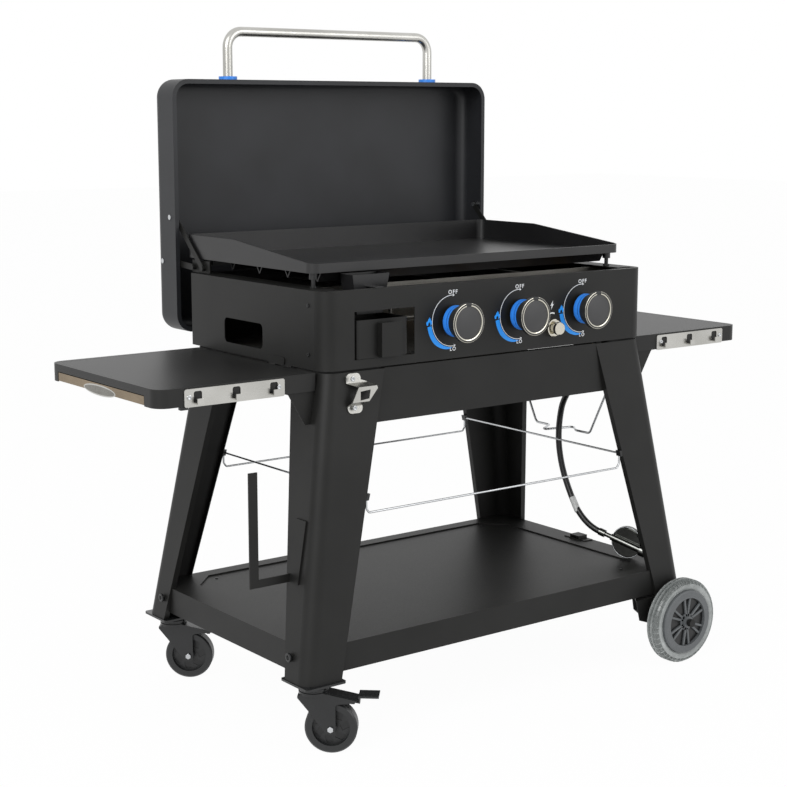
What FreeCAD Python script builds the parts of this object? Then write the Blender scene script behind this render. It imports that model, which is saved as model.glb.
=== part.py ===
import FreeCAD, Part
import math
import os
import re
import Sketcher
from FreeCAD import Placement, Rotation, Vector

# Outdoor gas griddle station: a lift-off griddle head with a linked lid, on a splayed cart
# with two shelves, two braked casters on the left and two large wheels on the right.
# Millimetres, +Z up, front towards -Y. The origin is on the floor, under the middle of the
# whole outline, and the cart's own middle is side_shift and middle_shift from it.

SIZES = {
    # The whole
    "side_shift": 6.25,
    "middle_shift": -9.0,
    "wall": 2.0,
    "gap": 0.3,
    "overcut": 5.0,
    # Cart legs: folded sheet, splayed and tapering towards the foot
    "leg_top": 674.0,
    "foot_level": 132.5,
    "leg_top_x": 390.0,
    "leg_top_y": 227.5,
    "leg_foot_x": 479.0,
    "leg_foot_y": 285.0,
    "leg_front_top": 127.0,
    "leg_front_foot": 78.0,
    "leg_side_top": 111.0,
    "leg_side_foot": 67.0,
    "leg_lip": 12.0,
    "leg_corner": 26.0,
    # Aprons and side rails between the leg tops
    "apron_top": 675.0,
    "apron_bottom": 577.0,
    "apron_lip": 14.0,
    "rail_depth": 34.0,
    "rail_rest": 20.0,
    # Bottom tray
    "tray_top": 197.0,
    "tray_height": 52.0,
    "tray_fit": 0.7,
    "panel_half_x": 408.0,
    "panel_half_y": 245.0,
    "panel_chamfer": 50.0,
    "panel_sink": 3.0,
    # Tank clip on the tray
    "clip_front": 26.0,
    "clip_back": 38.0,
    "clip_inner": 437.0,
    "clip_width": 25.0,
    "clip_rise": 9.0,
    "clip_arch": 28.0,
    # Side shelves
    "shelf_inner": 396.0,
    "shelf_outer": 712.7,
    "shelf_half_y": 201.5,
    "shelf_top": 675.0,
    "shelf_height": 32.3,
    "shelf_corner": 25.0,
    "latch_notch": 4.5,
    # Hook strips on the shelves' front edges
    "strip_inner": 462.0,
    "strip_outer": 662.0,
    "strip_low": 641.0,
    "strip_high": 672.0,
    "hook_first": 484.0,
    "hook_pitch": 76.0,
    "hook_width": 16.0,
    "hook_tab": 12.5,
    "hook_level": 646.0,
    "hook_reach": 12.0,
    "hook_rise": 10.0,
    "hook_window": 21.5,
    "strip_corner": 4.0,
    # Shelf brackets
    "bracket_outer": 452.0,
    "bracket_low": 583.0,
    "bracket_line": 198.0,
    # Pull-out tray in the left shelf
    "drawer_front": 157.0,
    "drawer_back": 168.0,
    "drawer_height": 17.0,
    "drawer_length": 225.0,
    "drawer_sheet": 1.5,
    "drawer_play": 1.5,
    "runner_lip": 8.0,
    "drawer_recess": 0.5,
    "cup_half": 43.0,
    "cup_high": 13.5,
    "cup_proud": 13.0,
    # Griddle head
    "head_width": 788.6,
    "head_depth": 455.0,
    "head_bottom": 678.0,
    "head_top": 819.0,
    "wrap_depth": 29.5,
    "panel_corner": 28.5,
    "panel_lip": 14.0,
    "rest_flange": 45.0,
    "hold_front": 28.0,
    "hold_back": 106.0,
    "hold_low": 697.0,
    "hold_high": 744.0,
    "hold_corner": 10.0,
    # Controls
    "dial_first": -106.0,
    "dial_pitch": 164.0,
    "dial_level": 748.7,
    "stem_radius": 3.7,
    "stem_hole": 6.0,
    "stem_reach": 36.0,
    "knob_stand": 1.0,
    "knob_proud": 49.0,
    "knob_radius": 29.6,
    "knob_neck_radius": 24.0,
    "knob_neck_high": 8.0,
    "knob_skirt_radius": 28.6,
    "knob_skirt_high": 24.0,
    "knob_ring_radius": 36.8,
    "knob_ring_high": 9.5,
    "knob_face_sink": 1.5,
    "igniter_x": 144.6,
    "igniter_level": 715.8,
    "igniter_flange": 17.3,
    "igniter_barrel": 10.5,
    "igniter_proud": 8.5,
    "igniter_deep": 15.0,
    "button_radius": 8.8,
    "button_head": 12.6,
    "button_head_high": 8.0,
    "button_proud": 24.0,
    # Grease box, its opening and chute
    "grease_left": -329.0,
    "grease_right": -194.5,
    "grease_low": 694.0,
    "grease_high": 780.5,
    "box_left": -323.1,
    "box_right": -208.5,
    "box_height": 70.0,
    "box_depth": 98.0,
    "box_sheet": 1.5,
    "box_recess": 1.0,
    "pull_left": -277.0,
    "pull_right": -232.0,
    "pull_proud": 13.0,
    "chute_left": -310.0,
    "chute_right": -228.0,
    "chute_front": 196.0,
    "chute_back": 156.0,
    "drain_width": 8.0,
    "chute_top": 842.0,
    "chute_bottom": 770.0,
    "chute_taper": 12.0,
    # Fire side of the head
    "baffle_line": 120.0,
    "baffle_top": 815.0,
    "burner_first": -190.0,
    "burner_pitch": 225.0,
    "burner_level": 785.0,
    "burner_radius": 16.0,
    "burner_front": 105.0,
    "burner_back": 205.0,
    "burner_sheet": 1.5,
    "neck_radius": 9.0,
    "neck_front": 150.0,
    "feed_radius": 5.0,
    "valve_half": 11.0,
    "valve_front": 209.0,
    "valve_back": 189.0,
    "valve_high": 13.0,
    "outlet_end": 172.0,
    "manifold_radius": 8.0,
    "manifold_start": -130.0,
    "inlet_x": 345.0,
    "inlet_y": -140.0,
    "inlet_level": 700.0,
    "electrode_radius": 3.0,
    "electrode_length": 40.0,
    # Latch on the head's sides
    "latch_front": 102.0,
    "latch_back": 52.0,
    "latch_top": 691.0,
    "latch_plate_low": 676.0,
    "latch_tongue_low": 663.0,
    "latch_tongue_width": 20.0,
    "latch_round": 5.0,
    "latch_pin_y": -62.0,
    "latch_pin_z": 668.0,
    "latch_pin_radius": 3.0,
    # Griddle plate
    "plate_half_x": 381.0,
    "plate_front": 171.0,
    "plate_back": 269.0,
    "plate_low": 846.5,
    "plate_sheet": 3.2,
    "plate_lip_top": 863.5,
    "plate_wall_top": 891.5,
    "plate_slope_end": 90.5,
    "plate_corner": 18.0,
    "rib_first": -143.0,
    "rib_pitch": 96.0,
    "rib_half_width": 13.0,
    "rib_depth": 18.0,
    "rib_sheet": 1.5,
    "rib_inset": 31.0,
    "foot_inset": 18.0,
    "foot_front": 150.0,
    "foot_back": 210.0,
    "foot_nut_radius": 8.0,
    "foot_nut_high": 12.0,
    "foot_screw_radius": 4.0,
    "foot_pad_radius": 6.5,
    "foot_pad_high": 3.0,
    # Lid, open: its rim stands upright behind the plate
    "lid_half_x": 397.6,
    "lid_rim": 280.0,
    "lid_depth": 78.0,
    "lid_low": 694.8,
    "lid_high": 1192.8,
    "lid_sheet": 1.6,
    "lid_corner": 36.0,
    "lid_back_round": 22.0,
    "lid_flange": 9.0,
    # Handle
    "handle_half_x": 254.3,
    "handle_y": 307.0,
    "handle_level": 1288.0,
    "handle_radius": 9.75,
    "handle_bend": 32.0,
    "collar_radius": 18.5,
    "collar_high": 6.5,
    # Lid linkage: the lid turns a quarter about the turning point between open and closed
    "turn_y": 222.25,
    "turn_z": 763.25,
    "pivot_level": 829.0,
    "stay_pin_y": 300.6,
    "stay_pin_z": 923.6,
    "link_pin_y": 332.5,
    "link_pin_z": 835.2,
    "stay_inner": 384.0,
    "stay_sheet": 2.5,
    "stay_width": 12.0,
    "pin_radius": 3.0,
    "pin_play": 0.1,
    "pin_head_radius": 5.0,
    "pin_head_high": 1.4,
    "pin_meet": 389.2,
    "upright_inner": 377.5,
    "upright_top": 843.0,
    "upright_front": 181.0,
    "upright_back": 246.0,
    "upright_foot": 7.5,
    # Casters
    "caster_x": 438.4,
    "caster_y": 250.0,
    "caster_plate": 86.0,
    "caster_plate_high": 4.0,
    "plate_round": 6.0,
    "caster_race_radius": 27.0,
    "caster_race_low": 123.0,
    "race_groove": 1.5,
    "caster_head_low": 108.0,
    "caster_radius": 47.5,
    "caster_width": 28.0,
    "caster_trail": 32.0,
    "caster_bore": 4.0,
    "cheek_sheet": 2.5,
    "cheek_gap": 3.5,
    "cheek_proud": 9.0,
    "guard_reach": 80.0,
    "guard_high": 117.0,
    "guard_drop": 17.0,
    "web_low": 93.0,
    "front_caster_angle": -41.0,
    "rear_caster_angle": -40.0,
    "window_count": 7.0,
    "pedal_reach": 118.0,
    "pedal_width": 34.0,
    "pedal_play": 1.5,
    "pedal_sheet": 2.5,
    "pedal_level": 107.5,
    "pedal_pivot": 100.5,
    "pedal_arm": 20.0,
    "shoe_start": 65.0,
    "shoe_end": 76.0,
    "shoe_low": 89.5,
    # Large wheels
    "wheel_x": 447.0,
    "wheel_radius": 88.0,
    "tyre_inner": 66.5,
    "tyre_width": 32.0,
    "tyre_face": 322.0,
    "hub_rim_inner": 50.5,
    "hub_proud": 5.0,
    "hub_back": 2.0,
    "spoke_inner": 20.0,
    "slit_inner": 28.0,
    "wide_window": 15.5,
    "narrow_window": 5.5,
    "boss_radius": 12.5,
    "axle_radius": 6.0,
    "axle_play": 0.1,
    "axle_cap_radius": 8.0,
    "axle_cap_end": 340.0,
    "axle_end": 208.0,
    "spoke_pairs": 6.0,
    # Axle brackets under the right legs
    "axle_box_top": 140.0,
    "axle_box_skew": 50.0,
    "axle_box_inner": 342.0,
    "axle_box_outer": 474.0,
    "axle_box_front": 281.0,
    "axle_box_back": 216.0,
    "axle_box_low": 70.0,
    # Brace wires and their clips
    "wire_radius": 2.0,
    "wire_level": 448.0,
    "wire_drop": 30.0,
    "wire_bend": 8.0,
    "wire_clip": 12.0,
    "wire_clip_thick": 6.0,
    # Tank hanger
    "hanger_x": 390.0,
    "hanger_radius": 2.5,
    "hanger_low": 455.0,
    "hanger_high": 655.0,
    "hanger_foot": 84.0,
    "hanger_spread": 186.0,
    "hanger_bend": 12.0,
    "hanger_out": 24.0,
    "hanger_in": 50.0,
    "hanger_kink": 9.0,
    # Towel holder on the front left leg
    "towel_bar_outer": 536.0,
    "towel_bar_width": 18.0,
    "towel_bar_top": 511.0,
    "towel_bar_low": 303.0,
    "towel_arm_high": 15.0,
    "towel_sheet": 3.0,
    "towel_line": 199.0,
    "towel_plate_end": 226.0,
    "towel_plate_high": 416.0,
    # Bottle opener on the front left leg
    "opener_sheet": 2.5,
    "opener_proud": 16.0,
    "opener_left": 351.0,
    "opener_top": 672.0,
    "opener_low": 601.0,
    "opener_width": 32.0,
    "opener_claw": 58.0,
    "opener_ear": 17.0,
    "opener_bend": 6.0,
    "opener_rise": 8.0,
    "opener_lobe": 13.0,
    "opener_nose": 3.0,
    "opener_round": 9.0,
    # Fasteners
    "screw_radius": 4.5,
    "screw_head_high": 2.5,
    # Hose and regulator
    "hose_radius": 6.5,
    "hose_drop": 43.5,
    "hose_lead": 20.0,
    "regulator_x": 417.5,
    "regulator_y": -176.8,
    "regulator_radius": 34.5,
    "regulator_flange": 4.5,
    "regulator_half": 8.0,
    "regulator_heading": -65.3,
    "regulator_dip": 18.0,
    "barrel_radius": 7.0,
    "barrel_offset": 12.0,
    "barrel_half": 34.0,
    "stem_length": 14.0,
    "fitting_length": 14.0,
    "nut_radius": 12.0,
    "nut_length": 12.0,
    "swing_gap": 0.5,
}

doc = FreeCAD.newDocument("GriddleStation")
sheet = doc.addObject("Spreadsheet::Sheet", "Sizes")
for row, (word, value) in enumerate(SIZES.items(), start=1):
    sheet.set(f"A{row}", word)
    sheet.set(f"B{row}", str(value))
    sheet.setAlias(f"B{row}", word)
doc.recompute()

FLAT = Rotation()
TO_X = Rotation(Vector(0, 1, 0), 90)
TO_Y = Rotation(Vector(1, 0, 0), -90)
UPRIGHT_XZ = Rotation(Vector(1, 0, 0), 90)
UPRIGHT_YZ = Rotation(Vector(1, 1, 1), 120)

sub_parts = []


# Formulas and their values

def bound(formula):
    """A formula of sheet words, as an expression that an object can follow."""
    return re.sub(r"[a-z][a-z_]*", lambda m: f"Sizes.{m[0]}" if m[0] in SIZES else m[0], formula)


def number(formula):
    """The present value of a formula of sheet words."""
    return float(sheet.evalExpression(formula))


def spot(x, y, z):
    """The point that three formulas give."""
    return Vector(number(x), number(y), number(z))


def tie(item, **formulas):
    """Bind properties of an object to formulas of the sheet."""
    for name, formula in formulas.items():
        item.setExpression(name, bound(formula))


def put(item, x, y, z, turn=FLAT):
    """Place an object at three formulas, turned."""
    item.Placement = Placement(Vector(), turn)
    item.setExpression("Placement.Base.x", bound(x))
    item.setExpression("Placement.Base.y", bound(y))
    item.setExpression("Placement.Base.z", bound(z))
    return item


# Solids

def box(low, high):
    """A block between two corners, each three formulas."""
    item = doc.addObject("Part::Box", "Block")
    tie(item, Length=f"({high[0]}) - ({low[0]})", Width=f"({high[1]}) - ({low[1]})",
        Height=f"({high[2]}) - ({low[2]})")
    return put(item, *low)


def rod(start, length, radius, turn=FLAT):
    """A round bar from a start point, along Z or turned to another axis."""
    item = doc.addObject("Part::Cylinder", "Round")
    tie(item, Radius=radius, Height=length)
    return put(item, *start, turn)


def outline(corners, owner=doc):
    """A closed sketch through corners of two formulas each, all held by the sheet."""
    if owner is doc:
        sketch = doc.addObject("Sketcher::SketchObject", "Outline")
    else:
        sketch = owner.newObject("Sketcher::SketchObject", "Outline")
    spots = [Vector(number(across), number(up), 0) for across, up in corners]
    count = len(spots)
    for index in range(count):
        sketch.addGeometry(Part.LineSegment(spots[index], spots[(index + 1) % count]), False)
    for index in range(count):
        sketch.addConstraint(Sketcher.Constraint("Coincident", index, 2, (index + 1) % count, 1))
    for index, (across, up) in enumerate(corners):
        for kind, formula, value in (("DistanceX", across, spots[index].x),
                                     ("DistanceY", up, spots[index].y)):
            held = sketch.addConstraint(Sketcher.Constraint(kind, -1, 1, index, 1, value))
            sketch.setExpression(f"Constraints[{held}]", bound(formula))
    return sketch


def prism(plane, level, depth, corners):
    """A sheet or bar of one outline, drawn in a plane at a level and pushed along its axis."""
    sketch = outline(corners)
    places = {"xy": ("0", "0", level, FLAT, Vector(0, 0, 1)),
              "xz": ("0", level, "0", UPRIGHT_XZ, Vector(0, 1, 0)),
              "yz": (level, "0", "0", UPRIGHT_YZ, Vector(1, 0, 0))}
    x, y, z, turn, way = places[plane]
    put(sketch, x, y, z, turn)
    item = doc.addObject("Part::Extrusion", "Pushed")
    item.Base = sketch
    item.DirMode = "Custom"
    item.Dir = way
    item.Solid = True
    tie(item, LengthFwd=depth)
    return item


def fuse(*pieces):
    """One solid of several."""
    item = doc.addObject("Part::MultiFuse", "Joined")
    item.Shapes = list(pieces)
    item.Refine = True
    return item


def group(*pieces):
    """Several solids as one object."""
    item = doc.addObject("Part::Compound", "Set")
    item.Links = list(pieces)
    return item


def cut(base, *tools):
    """A solid with others taken out of it, one after another."""
    for tool in tools:
        item = doc.addObject("Part::Cut", "Opened")
        item.Base = base
        item.Tool = tool
        base = item
    return base


def common(base, tool):
    """What two solids share."""
    item = doc.addObject("Part::Common", "Shared")
    item.Base = base
    item.Tool = tool
    return item


def mirror(source, normal):
    """The mirror image of an object in a plane through the cart's middle."""
    item = doc.addObject("Part::Mirroring", "Mirrored")
    item.Source = source
    item.Normal = normal
    return item


LEFT_RIGHT = Vector(1, 0, 0)
FRONT_BACK = Vector(0, 1, 0)


def rounded(base, radius, chosen):
    """A solid with the edges that a test picks rounded to a radius."""
    doc.recompute()
    size = number(radius)
    item = doc.addObject("Part::Fillet", "Rounded")
    item.Base = base
    item.Edges = [(index, size, size) for index, edge in enumerate(base.Shape.Edges, start=1)
                  if chosen(edge)]
    return item


def straight(axis, **near):
    """A test for straight edges along an axis, near given places on the other axes."""
    wanted = {key: number(formula) for key, formula in near.items()}

    def test(edge):
        ends = [vertex.Point for vertex in edge.Vertexes]
        if len(ends) != 2 or edge.Curve.TypeId != "Part::GeomLine":
            return False
        way = (ends[1] - ends[0]).normalize()
        if abs(getattr(way, axis)) < 0.999:
            return False
        middle = (ends[0] + ends[1]) / 2
        return all(abs(getattr(middle, key) - value) < 0.01 for key, value in wanted.items())

    return test


def any_of(*tests):
    """A test that passes an edge which one of the tests picks."""
    return lambda edge: any(test(edge) for test in tests)


def between(low, high):
    """A solid whose sides run straight from one closed outline to another."""
    item = doc.addObject("Part::Loft", "Tapered")
    item.Sections = [low, high]
    item.Solid = True
    item.Ruled = True
    return item


def turned(profile):
    """A body turned about its own Z from corners of radius and height."""
    body = doc.addObject("PartDesign::Body", "Turned")
    sketch = outline(profile, body)
    plane = next(item for item in body.Origin.OriginFeatures if item.Role == "XZ_Plane")
    sketch.AttachmentSupport = [(plane, "")]
    sketch.MapMode = "FlatFace"
    round_shape = body.newObject("PartDesign::Revolution", "Revolution")
    round_shape.Profile = sketch
    round_shape.ReferenceAxis = (sketch, ["V_Axis"])
    round_shape.Angle = 360
    return body


def windows(body, corners, count):
    """Openings through a turned body, one outline repeated evenly round its axis."""
    sketch = outline(corners, body)
    plane = next(item for item in body.Origin.OriginFeatures if item.Role == "XY_Plane")
    sketch.AttachmentSupport = [(plane, "")]
    sketch.MapMode = "FlatFace"
    pocket = body.newObject("PartDesign::Pocket", "Window")
    pocket.Profile = sketch
    pocket.Type = "ThroughAll"
    pocket.Midplane = True
    ring = body.newObject("PartDesign::PolarPattern", "Windows")
    ring.Originals = [pocket]
    ring.Axis = (sketch, ["N_Axis"])
    ring.Angle = 360
    tie(ring, Occurrences=count)
    body.Tip = ring
    return body


def corner_path(points, radii):
    """A wire of straight runs joined by tangent arcs of the given radii."""
    edges = []
    start = points[0]
    for before, corner, after, radius in zip(points, points[1:], points[2:], radii):
        back = (before - corner).normalize()
        ahead = (after - corner).normalize()
        half = math.acos(max(-1.0, min(1.0, back.dot(ahead)))) / 2
        reach = radius / math.tan(half)
        leave = corner + back * reach
        join = corner + ahead * reach
        middle = corner + (back + ahead).normalize() * (radius / math.sin(half) - radius)
        edges.append(Part.LineSegment(start, leave).toShape())
        edges.append(Part.Arc(leave, middle, join).toShape())
        start = join
    edges.append(Part.LineSegment(start, points[-1]).toShape())
    return Part.Wire(edges)


def tube(points, radii, radius, bore=0.0):
    """A bent round tube or wire along a path of runs and arcs."""
    path = corner_path(points, radii)
    way = points[1] - points[0]

    def swept(size):
        ring = Part.Wire(Part.Circle(points[0], way, size).toShape())
        return path.makePipeShell([ring], True, False)

    shape = swept(radius)
    expected = math.pi * radius ** 2 * path.Length
    if abs(shape.Volume / expected - 1) > 0.01:
        raise ValueError("a bent tube has lost volume")
    if bore:
        shape = shape.cut(swept(bore))
    item = doc.addObject("Part::Feature", "Bent")
    item.Shape = shape
    return item


def finish(label, *pieces):
    """Name a sub-part and set it in the frame of the whole."""
    item = group(*pieces)
    item.Label = label
    put(item, "side_shift", "middle_shift", "0")
    sub_parts.append(item)
    return item


# Places that several pieces share

HEAD_SIDE = "head_width / 2"
HEAD_FRONT = "0 - head_depth / 2"
HEAD_BACK = "head_depth / 2"
DIALS = [f"dial_first + {index} * dial_pitch" for index in range(3)]
BURNERS = [f"burner_first + {index} * burner_pitch" for index in range(3)]


def down_leg(level):
    """How far down a leg a level lies, from 0 at the top to 1 at the foot."""
    return f"((leg_top - ({level})) / (leg_top - foot_level))"


def leg_x(level):
    """Outer corner of a right leg at a level, along X."""
    return f"(leg_top_x + {down_leg(level)} * (leg_foot_x - leg_top_x))"


def leg_y(level):
    """Outer corner of a rear leg at a level, along Y."""
    return f"(leg_top_y + {down_leg(level)} * (leg_foot_y - leg_top_y))"


def leg_front(level):
    """Width of a leg's front or rear face at a level."""
    return f"(leg_front_top - {down_leg(level)} * (leg_front_top - leg_front_foot))"


def leg_side(level):
    """Width of a leg's side face at a level."""
    return f"(leg_side_top - {down_leg(level)} * (leg_side_top - leg_side_foot))"


def leg_inner(level):
    """Inner edge of a right leg's front face at a level, along X."""
    return f"({leg_x(level)} - {leg_front(level)})"


TRAY_X = f"({leg_x('tray_top')} - wall - tray_fit)"
TRAY_Y = f"({leg_y('tray_top')} - wall - tray_fit)"


# Cart frame

def leg_section(level):
    """The folded sheet of a rear right leg, cut level."""
    x, y, wide, deep = leg_x(level), leg_y(level), leg_front(level), leg_side(level)
    sketch = outline([
        (f"{x} - {wide}", y), (x, y), (x, f"{y} - {deep}"),
        (f"{x} - leg_lip", f"{y} - {deep}"), (f"{x} - leg_lip", f"{y} - {deep} + wall"),
        (f"{x} - wall", f"{y} - {deep} + wall"), (f"{x} - wall", f"{y} - wall"),
        (f"{x} - {wide} + wall", f"{y} - wall"), (f"{x} - {wide} + wall", f"{y} - leg_lip"),
        (f"{x} - {wide}", f"{y} - leg_lip")])
    return put(sketch, "0", "0", level)


def fold_line(inset):
    """A test for a leg's long corner edge, inset from the outer corner."""
    top = spot(f"{leg_x('leg_top')} - {inset}", f"{leg_y('leg_top')} - {inset}", "leg_top")
    foot = spot(f"{leg_x('foot_level')} - {inset}", f"{leg_y('foot_level')} - {inset}",
                "foot_level")

    def test(edge):
        ends = [vertex.Point for vertex in edge.Vertexes]
        return all(any(end.distanceToPoint(want) < 0.01 for end in ends) for want in (top, foot))

    return test


def make_legs():
    """Four legs: one folded sheet, mirrored; the lips stop above the tray."""
    leg = between(leg_section("foot_level"), leg_section("leg_top"))
    leg = rounded(leg, "leg_corner", fold_line("0"))
    leg = rounded(leg, "leg_corner - wall", fold_line("wall"))
    x, y = f"{TRAY_X} + tray_fit / 2", f"{TRAY_Y} + tray_fit / 2"
    room = rounded(box(("0", "0", "foot_level - overcut"), (x, y, "tray_top + gap")),
                   "leg_corner - wall", straight("z", x=x, y=y))
    leg = cut(leg, room)
    x, y = "axle_box_outer + gap", "axle_box_front + gap"
    notch = rounded(box(("0", "0", "foot_level - overcut"), (x, y, "axle_box_top + gap")),
                    "leg_corner", straight("z", x=x, y=y))
    wheeled = cut(leg, notch)
    finish("leg_rear_right", wheeled)
    finish("leg_front_right", mirror(wheeled, FRONT_BACK))
    rear_left = mirror(leg, LEFT_RIGHT)
    finish("leg_rear_left", rear_left)
    finish("leg_front_left", mirror(rear_left, FRONT_BACK))


def make_aprons():
    """Front and rear aprons between the legs, and the side rails that carry the head."""
    top = f"{leg_inner('leg_top')} - gap"
    foot = f"{leg_inner('apron_bottom')} - gap"
    web = prism("xz", HEAD_FRONT, "wall", [
        (f"0 - ({top})", "apron_top"), (f"0 - ({foot})", "apron_bottom"),
        (foot, "apron_bottom"), (top, "apron_top")])
    lips = [box((f"0 - ({top})", HEAD_FRONT, low), (top, f"{HEAD_FRONT} + apron_lip", high))
            for low, high in (("apron_top - wall", "apron_top"),
                              ("apron_bottom", "apron_bottom + wall"))]
    apron = fuse(web, *lips)
    finish("front_apron", apron)
    reach = f"leg_top_y - leg_side_top - gap"
    web = box(("leg_top_x - wall", f"0 - ({reach})", "leg_top - rail_depth"),
              ("leg_top_x", reach, "head_bottom - gap"))
    rest = box(("leg_top_x - rail_rest", f"0 - ({reach})", "head_bottom - gap - wall"),
               ("leg_top_x", reach, "head_bottom - gap"))
    rail = fuse(web, rest)
    finish("cart_rails", mirror(apron, FRONT_BACK), rail, mirror(rail, LEFT_RIGHT))


def make_bottom_tray():
    """Folded tray whose top sinks into a panel with cut corners."""
    low = "tray_top - tray_height"

    def shell(inset, start, end):
        x, y = f"({TRAY_X} - {inset})", f"({TRAY_Y} - {inset})"
        corners = any_of(*[straight("z", x=f"{side} * {x}", y=f"{turn} * {y}")
                           for side in (-1, 1) for turn in (-1, 1)])
        return rounded(box((f"0 - {x}", f"0 - {y}", start), (x, y, end)),
                       f"leg_corner - wall - {inset}", corners)

    block = shell("0", low, "tray_top")
    hollow = shell("wall", f"{low} - overcut", "tray_top - wall")

    def panel(grow, level, depth):
        x, y = f"(panel_half_x + {grow})", f"(panel_half_y + {grow})"
        cut_x, cut_y = f"({x} - panel_chamfer)", f"({y} - panel_chamfer)"
        return prism("xy", level, depth, [
            (f"0 - {cut_x}", f"0 - {y}"), (cut_x, f"0 - {y}"), (x, f"0 - {cut_y}"),
            (x, cut_y), (cut_x, y), (f"0 - {cut_x}", y), (f"0 - {x}", cut_y),
            (f"0 - {x}", f"0 - {cut_y}")])

    dish = panel("wall", "tray_top - panel_sink - wall", "panel_sink + wall")
    sink = panel("0", "tray_top - panel_sink", "panel_sink + overcut")
    finish("bottom_tray", cut(fuse(cut(block, hollow), dish), sink))


def make_tank_clip():
    """Low plate with a raised arch that keeps a gas bottle's foot on the tray."""
    left, right = "clip_inner", "clip_inner + clip_width"
    plate = box((left, "0 - clip_front", "tray_top"), (right, "clip_back", "tray_top + wall"))
    start = "(clip_back - clip_front - clip_arch) / 2"
    arch = box((left, start, "tray_top"), (right, f"{start} + clip_arch", "tray_top + clip_rise"))
    under = box((f"{left} - overcut", f"{start} + wall", "tray_top + wall"),
                (f"{right} + overcut", f"{start} + clip_arch - wall",
                 "tray_top + clip_rise - wall"))
    finish("tank_clip", fuse(plate, cut(arch, under)))


# Shelves

def shelf_shell():
    """A right shelf: a pan turned down, with a notch for the head's latch."""
    low = "shelf_top - shelf_height"
    corners = any_of(straight("z", x="shelf_outer", y="0 - shelf_half_y"),
                     straight("z", x="shelf_outer", y="shelf_half_y"))
    block = rounded(box(("shelf_inner", "0 - shelf_half_y", low),
                        ("shelf_outer", "shelf_half_y", "shelf_top")), "shelf_corner", corners)
    inner = any_of(straight("z", x="shelf_outer - wall", y="0 - shelf_half_y + wall"),
                   straight("z", x="shelf_outer - wall", y="shelf_half_y - wall"))
    hollow = rounded(box(("shelf_inner + wall", "0 - shelf_half_y + wall", f"{low} - overcut"),
                         ("shelf_outer - wall", "shelf_half_y - wall", "shelf_top - wall")),
                     "shelf_corner - wall", inner)
    notch = box(("shelf_inner - overcut", "0 - latch_front - latch_notch", f"{low} - overcut"),
                ("shelf_inner + latch_notch", "0 - latch_back + latch_notch",
                 "shelf_top + overcut"))
    return cut(block, hollow, notch)


DRAWER_TOP = "(shelf_top - shelf_height + drawer_height)"


def make_shelves():
    """Right shelf plain; left shelf with a slot and runners for the pull-out tray."""
    shell = shelf_shell()
    finish("right_shelf", shell)
    left = mirror(shell, LEFT_RIGHT)
    low = "shelf_top - shelf_height"
    slot = box(("0 - shelf_outer - overcut", "0 - drawer_front", f"{low} - overcut"),
               ("0 - shelf_outer + wall + overcut", "drawer_back", f"{DRAWER_TOP} + drawer_play"))
    runners = []
    start, end = "0 - shelf_outer + shelf_corner", "0 - shelf_outer + drawer_length + overcut"
    for near, far, lip_near, lip_far in (
            ("0 - drawer_front - wall", "0 - drawer_front",
             "0 - drawer_front - wall", "0 - drawer_front + runner_lip"),
            ("drawer_back", "drawer_back + wall",
             "drawer_back - runner_lip", "drawer_back + wall")):
        web = box((start, near, low), (end, far, "shelf_top - wall"))
        lip = box((start, lip_near, low), (end, lip_far, f"{low} + drawer_sheet"))
        runners.append(fuse(web, lip))
    finish("left_shelf", fuse(cut(left, slot), *runners))


def make_pull_out_tray():
    """Shallow stainless tray with a pressed cup pull, in the left shelf's outer edge."""
    floor = "(shelf_top - shelf_height + drawer_sheet + gap)"
    outer = "(0 - shelf_outer + drawer_recess)"
    front, back = "0 - drawer_front + drawer_play", "drawer_back - drawer_play"
    pan = box((outer, front, floor), (f"{outer} + drawer_length", back, DRAWER_TOP))
    hollow = box((f"{outer} + drawer_sheet", f"{front} + drawer_sheet", f"{floor} + drawer_sheet"),
                 (f"{outer} + drawer_length - drawer_sheet", f"{back} - drawer_sheet",
                  f"{DRAWER_TOP} + overcut"))
    middle = "(drawer_back - drawer_front) / 2"
    skin, room = [doc.addObject("Part::Ellipsoid", "Cup") for _ in range(2)]
    for cup, inset in ((skin, "0"), (room, "drawer_sheet")):
        tie(cup, Radius1=f"cup_high - {inset}", Radius2=f"cup_proud - {inset}",
            Radius3=f"cup_half - {inset}")
        put(cup, outer, middle, floor)
    keep = box((f"{outer} - cup_proud - overcut", f"{middle} - cup_half - overcut", floor),
               (f"{outer} + drawer_sheet / 2", f"{middle} + cup_half + overcut", DRAWER_TOP))
    finish("pull_out_tray", fuse(cut(pan, hollow), cut(common(skin, keep), room)))


def make_hook_strips():
    """Stainless strip with three hooks bent out of round-topped windows, on each shelf."""
    face = "0 - shelf_half_y"
    strip = rounded(box(("strip_inner", f"{face} - wall", "strip_low"),
                        ("strip_outer", face, "strip_high")), "strip_corner", straight("y"))
    hooks, openings = [], []
    for index in range(3):
        middle = f"(hook_first + {index} * hook_pitch)"
        left, right = f"{middle} - hook_tab / 2", f"{middle} + hook_tab / 2"
        arm = box((left, f"{face} - hook_reach", "hook_level"),
                  (right, f"{face} - wall / 2", "hook_level + wall"))
        tip = box((left, f"{face} - hook_reach", "hook_level"),
                  (right, f"{face} - hook_reach + wall", "hook_level + hook_rise"))
        hooks += [arm, tip]
        left, right = f"{middle} - hook_width / 2", f"{middle} + hook_width / 2"
        top = "hook_level + hook_window"
        openings.append(rounded(
            box((left, f"{face} - wall - overcut", "hook_level + wall"),
                (right, f"{face} + overcut", top)),
            "strip_corner", any_of(straight("y", x=left, z=top), straight("y", x=right, z=top))))
    strip = fuse(cut(strip, *openings), *hooks)
    finish("hook_strips", strip, mirror(strip, LEFT_RIGHT))


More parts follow.
